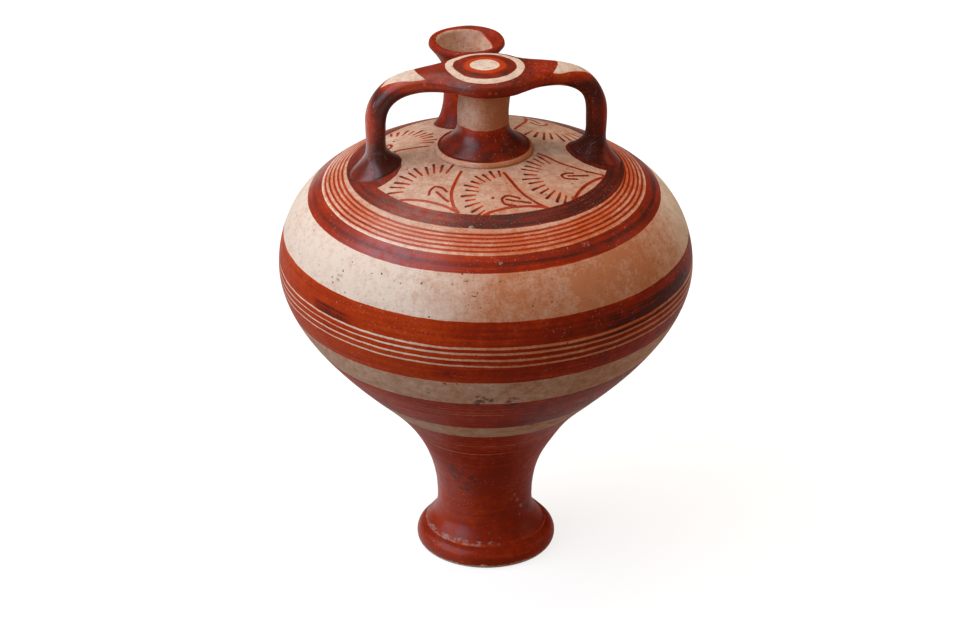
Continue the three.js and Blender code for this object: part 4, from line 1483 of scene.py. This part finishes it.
def top_paint(bands, colours):
    """Rings on the disc, dark slip on the straps, and bare patches where the straps turn down."""
    surface = Surface("disc_and_handle_slip")
    bench = surface.bench
    height = surface.z - NECK_TOP
    radius = surface.off_centre(-0.65, 0.1) + surface.wander(4.0, 0.22, 91.0)
    radius = radius + surface.wander(1.0, 0.1, 93.0)
    top_side = bench.step(height, 2.6, 3.2)
    dot = bench.step(radius, bands.dot_radius + 0.15, bands.dot_radius - 0.15)
    pale_ring = surface.ring(radius, bands.disc_ring_inner, bands.disc_ring_outer, 0.16)
    bare = bench.most(dot, pale_ring) * top_side
    reach = abs(surface.x)
    from_middle = surface.y - 1.5
    from_disc = reach - (bands.patch_start - from_middle * from_middle * 0.055)
    from_disc = from_disc + surface.wander(3.0, 0.2, 95.0)
    narrowed = bench.clamped(from_disc / bands.patch_length) ** 1.7 * bands.patch_half_width
    on_strap = bands.patch_half_width - narrowed - abs(surface.y) + surface.wander(4.0, 0.35, 97.0)
    patch = bench.step(from_disc, -0.1, 0.2) * bench.step(on_strap, 0.0, 0.5) * bench.step(height, -1, 0)
    bare = bench.most(bare, patch)
    under = bench.step(height, 0.6, 0.2) * bench.step(surface.radius, 12.6, 12.0)
    bare = bench.most(bench.most(bare, under), surface.blots(*DISC_CHIPS) * 0.55)

    on_disc = bench.step(radius, 17.5, 15.0) * top_side
    inner = bench.step(radius, 7.9, 6.4) * on_disc
    pulled = bench.vector(surface.y * 0.8, reach * 0.06, surface.z * 0.06)
    along_strap = bench.noise(pulled, 1.0, 3.0, 0.6, 7.0)
    blotches = bench.noise(surface.spot, 4.0, 4.0, 0.65, 9.0)
    streaks = along_strap + on_disc * (blotches - along_strap)
    near_patch = bench.step(from_disc, -0.5, 1.0) * bench.step(on_strap, -3.5, 0.0)
    near_patch = near_patch * bench.step(height, -2, 1)
    low = bench.step(height, -15, -21)
    # Painted shade: thicker, darker slip on the straps' inner faces towards the neck. Partly the slip's own
    # orange, partly painted highlight: thinner slip low on the legs' outer faces
    inside = bench.step(reach, 39.4, 36.6) * bench.step(height, 2.2, -0.2)
    outside = bench.step(reach, 39.0, 41.0) * bench.step(height, -20, -14)
    thick = 0.52 + 0.16 * on_disc - 0.38 * inner - 0.16 * near_patch
    thick = thick + 0.16 * low + 0.46 * inside - 0.20 * outside
    return fired(surface, colours, (1 - bare) * thick, streaks, dirt=0.26, flush_and_shade=0.10, scuffs=0.24,
                 lustre=0.65 + 0.25 * low)


def spout_paint(sizes, colours):
    """Slip outside and on the lip, with a ragged edge inside the mouth."""
    surface = Surface("spout_slip")
    bench = surface.bench
    middle = MOUTH_CENTRE - (sizes.mouth_aside + 0.8, -1.1, 0)
    from_middle = surface.off_centre(float(middle[0]), float(middle[1]))
    from_middle = from_middle + surface.wander(6.0, 0.4, 103.0) + surface.wander(1.2, 0.12, 105.0)
    inside = bench.step(from_middle, 9.7, 9.2) * bench.step(surface.attribute("within"), 0.4, 0.6)
    slip = (1 - inside) * (0.56 + 0.2 * bench.step(surface.z, 153, 148))
    blotches = bench.noise(surface.spot, 5.0, 3.0, 0.6, 13.0)
    return fired(surface, colours, slip, blotches, dirt=0.60, flush_and_shade=0.52, scuffs=0.2, lustre=0.9)


def softbox(name, place, size, watts, tint):
    """A rectangular soft lamp that points at the jar."""
    lamp = bpy.data.lights.new(name, "AREA")
    lamp.shape = "RECTANGLE"
    lamp.size, lamp.size_y = size
    lamp.energy = watts
    lamp.color = tint
    holder = placed(name, lamp)
    holder.location = place
    holder.rotation_euler = (Vector(LAMPS_AIM) - Vector(place)).to_track_quat("-Z", "Y").to_euler()


def pale_floor():
    """A floor that shows white where it is lit, and keeps the jar's shadow."""
    material = bpy.data.materials.new("pale_floor")
    material.use_nodes = True
    material.node_tree.nodes.clear()
    bench = Bench(material.node_tree)
    rays = bench.node("ShaderNodeLightPath", None, None, "Is Camera Ray")
    seen = bench.most(rays, bench.most(rays.output("Is Glossy Ray"), rays.output("Is Transmission Ray")))
    matt = bench.node("ShaderNodeBsdfDiffuse", None, {"Color": (0.34, 0.32, 0.29, 1)})
    glow = bench.node("ShaderNodeEmission", None, {"Color": (1, 1, 1, 1), "Strength": seen * 0.80})
    both = bench.node("ShaderNodeAddShader", None, {0: matt, 1: glow})
    bench.node("ShaderNodeOutputMaterial", None, {"Surface": both})
    return material


def set_camera(stage):
    """The camera at the photo's angle."""
    level = stage.camera_distance * math.cos(stage.elevation)
    aside = Vector((math.cos(stage.turn), math.sin(stage.turn), 0)) * -stage.aim_aside
    target = (Vector((0, 0, stage.aim_height)) + aside) * MM
    place = Vector((level * math.sin(stage.turn), -level * math.cos(stage.turn),
                    stage.camera_distance * math.sin(stage.elevation))) * MM + target
    camera = bpy.data.cameras.new("camera")
    camera.sensor_width = 36
    camera.lens = stage.lens
    camera.clip_end = 20
    holder = placed("camera", camera)
    holder.location = place
    look = (target - place).to_track_quat("-Z", "Y") @ Quaternion((0, 0, 1), stage.roll)
    holder.rotation_euler = look.to_euler()
    bpy.context.scene.camera = holder


def sizes_now():
    """The jar's property groups, their lengths in millimetres."""
    scene = bpy.context.scene
    return SimpleNamespace(**{name: in_millimetres(getattr(scene, "jar_" + name)) for name in GROUPS})


class JAR_OT_foot(bpy.types.Operator):
    """Throw the foot and the stem"""

    bl_idname = "jar.foot_and_stem"
    bl_label = "Foot and stem"

    def execute(self, context):
        here = sizes_now()
        curves = body_curves(here.body)
        foot_slip = foot_paint(here.paint)
        foot = thrown("thrown_foot", foot_outline(here.body), foot_slip, here.relief)
        points = coordinates(foot)
        points[:, 0] += here.body.foot_shift
        set_coordinates(foot, points)
        show(foot, foot_slip, "red_slip", "foot")
        stem_slip = body_paint("stem_slip", curves, here.bands, here.paint)
        stem = thrown("thrown_stem", stem_outline(curves), stem_slip, here.relief)
        fuller_right(stem, here.body.right_fullness)
        show(stem, stem_slip, "red_slip", "stem")
        return {"FINISHED"}


class JAR_OT_bowl(bpy.types.Operator):
    """Throw the lower half of the body"""

    bl_idname = "jar.bowl"
    bl_label = "Bowl"

    def execute(self, context):
        here = sizes_now()
        curves = body_curves(here.body)
        slip = body_paint("bowl_bands", curves, here.bands, here.paint)
        mesh = thrown("thrown_bowl", bowl_outline(here.body, curves), slip, here.relief, 480)
        fuller_right(mesh, here.body.right_fullness)
        show(mesh, slip, "red_slip", "lower_body")
        return {"FINISHED"}


class JAR_OT_shoulder(bpy.types.Operator):
    """Throw the shoulder, cut the spout's hole and paint its flowers"""

    bl_idname = "jar.shoulder"
    bl_label = "Shoulder"

    def execute(self, context):
        here = sizes_now()
        curves = body_curves(here.body)
        slip = body_paint("shoulder_bands", curves, here.bands, here.paint, on_shoulder=True)
        outline = shoulder_outline(here.body, here.neck, curves)
        whole = thrown("thrown_shoulder", outline, slip, here.relief, 600)
        mesh = with_hole(whole, spout_cutter(here.spout, curves))
        edge, ink = painted_flowers(coordinates(mesh), here.flowers)
        set_attribute(mesh, "stroke_edge", edge)
        set_attribute(mesh, "stroke_ink", ink)
        turned_outwards(mesh)
        show(mesh, slip, "bare_clay", "upper_body")
        return {"FINISHED"}


class JAR_OT_neck(bpy.types.Operator):
    """Throw the collar and the solid neck"""

    bl_idname = "jar.neck"
    bl_label = "Collar and false neck"

    def execute(self, context):
        here = sizes_now()
        sizes = here.neck
        slip = neck_paint(sizes, here.bands, here.paint)
        collar = thrown("luted_collar", collar_outline(sizes), slip, here.relief, 240)
        points = coordinates(collar)
        reach = np.hypot(points[:, 0], points[:, 1])
        hole = sizes.plug_radius + FIT_GAP
        points[:, 0] -= sizes.base_lean * smooth_step(reach, hole + 0.5, hole + 4)
        set_coordinates(collar, points)
        show(collar, slip, "bare_clay", "neck_collar")
        neck = thrown("solid_neck", neck_outline(sizes), slip, here.relief, 240)
        points = coordinates(neck)
        heights = (-0.1, 0, 9, 13, NECK_TOP - COLLAR_TOP)
        leans = (0, sizes.base_lean, sizes.lean, sizes.lean, sizes.top_lean)
        points[:, 0] -= np.interp(points[:, 2] - COLLAR_TOP, heights, leans)
        set_coordinates(neck, points)
        show(neck, slip, "bare_clay", "false_neck")
        return {"FINISHED"}


class JAR_OT_top(bpy.types.Operator):
    """Make the disc, the straps and the clay round their feet"""

    bl_idname = "jar.disc_and_handles"
    bl_label = "Disc and handles"

    def execute(self, context):
        here = sizes_now()
        curves = body_curves(here.body)
        parts = [thrown("disc_core", disc_outline(here.top), None, here.relief, 160)]
        for side in (1, -1):
            parts.append(strap("strap_core", here.top, curves, side))
            parts.append(heap("heap_core", here.top, curves, side))
        for part in parts:
            turned_outwards(part)
        mesh = merged_skin("disc_and_handles", parts, here.top.voxel)
        points = smeared_joints(coordinates(mesh), edges_of(mesh), curves)
        pressed = finger_marks(points, 17.0, 0.3, here.relief.seed)
        points = drawn_in(mesh, points, pressed)
        set_coordinates(mesh, points)
        turned_outwards(mesh)
        show(mesh, top_paint(here.bands, here.paint), "dark_slip", "false_mouth_disc", "handle_right",
             "handle_left", "handle_root_right", "handle_root_left")
        return {"FINISHED"}


class JAR_OT_spout(bpy.types.Operator):
    """Make the spout with its flared mouth and its bore"""

    bl_idname = "jar.spout"
    bl_label = "Spout"

    def execute(self, context):
        here = sizes_now()
        curves = body_curves(here.body)
        rings, outer_rings = spout_rings(here.spout, curves)
        mesh = mesh_of("poured_spout", *lofted(rings, closed_ends=False))
        ring_of_point = np.arange(len(mesh.vertices)) // len(rings[0])
        set_attribute(mesh, "within", np.where(ring_of_point < outer_rings, 0.0, 1.0))
        turned_outwards(mesh)
        points = coordinates(mesh)
        pressed = finger_marks(points, 19.0, 0.35, here.relief.seed + 4)
        pressed *= smooth_step(points[:, 2], 150, 156)
        set_coordinates(mesh, drawn_in(mesh, points, pressed))
        show(mesh, spout_paint(here.spout, here.paint), "dark_slip", "spout", "spout_root")
        return {"FINISHED"}


class JAR_OT_stage(bpy.types.Operator):
    """Set the floor, the lamps and the camera"""

    bl_idname = "jar.stage"
    bl_label = "Stage"

    def execute(self, context):
        here = sizes_now().stage
        half = here.floor_size / 2
        square = [(-half, -half, 0), (half, -half, 0), (half, half, 0), (-half, half, 0)]
        floor = placed("floor", mesh_of("floor", square, [(0, 1, 2, 3)]))
        floor.data.materials.append(pale_floor())
        for lamp in LAMPS:
            softbox(*lamp)
        world = bpy.data.worlds.new("studio")
        world.use_nodes = True
        background = world.node_tree.nodes["Background"].inputs
        background["Color"].default_value = (1, 0.92, 0.84, 1)
        background["Strength"].default_value = 0.10
        bpy.context.scene.world = world
        set_camera(here)
        bpy.context.scene.view_settings.view_transform = "Standard"
        return {"FINISHED"}


OPERATORS = (JAR_OT_foot, JAR_OT_bowl, JAR_OT_shoulder, JAR_OT_neck, JAR_OT_top, JAR_OT_spout, JAR_OT_stage)
GROUPS = {
    "body": BodySizes, "neck": NeckSizes, "top": TopSizes, "spout": SpoutSizes, "relief": ReliefSizes,
    "paint": PaintColours, "bands": BandSizes, "flowers": FlowerSizes, "stage": StageSizes,
}


class JAR_PT_panel(bpy.types.Panel):
    """Buttons and sizes of the jar"""

    bl_label = "Stirrup jar"
    bl_idname = "JAR_PT_panel"
    bl_space_type = "VIEW_3D"
    bl_region_type = "UI"
    bl_category = "Jar"

    def draw(self, context):
        for operator in OPERATORS:
            self.layout.operator(operator.bl_idname)
        for name, group in GROUPS.items():
            box = self.layout.box()
            box.label(text=name.capitalize())
            for label in group.__annotations__:
                box.prop(getattr(context.scene, "jar_" + name), label)


def register():
    for name, group in GROUPS.items():
        bpy.utils.register_class(group)
        setattr(bpy.types.Scene, "jar_" + name, bpy.props.PointerProperty(type=group))
    for item in (*OPERATORS, JAR_PT_panel):
        bpy.utils.register_class(item)


def unregister():
    for item in (JAR_PT_panel, *reversed(OPERATORS)):
        bpy.utils.unregister_class(item)
    for name, group in GROUPS.items():
        delattr(bpy.types.Scene, "jar_" + name)
        bpy.utils.unregister_class(group)


def main():
    register()
    for operator in OPERATORS:
        area, name = operator.bl_idname.split(".")
        getattr(getattr(bpy.ops, area), name)()


if __name__ == "__main__":
    main()
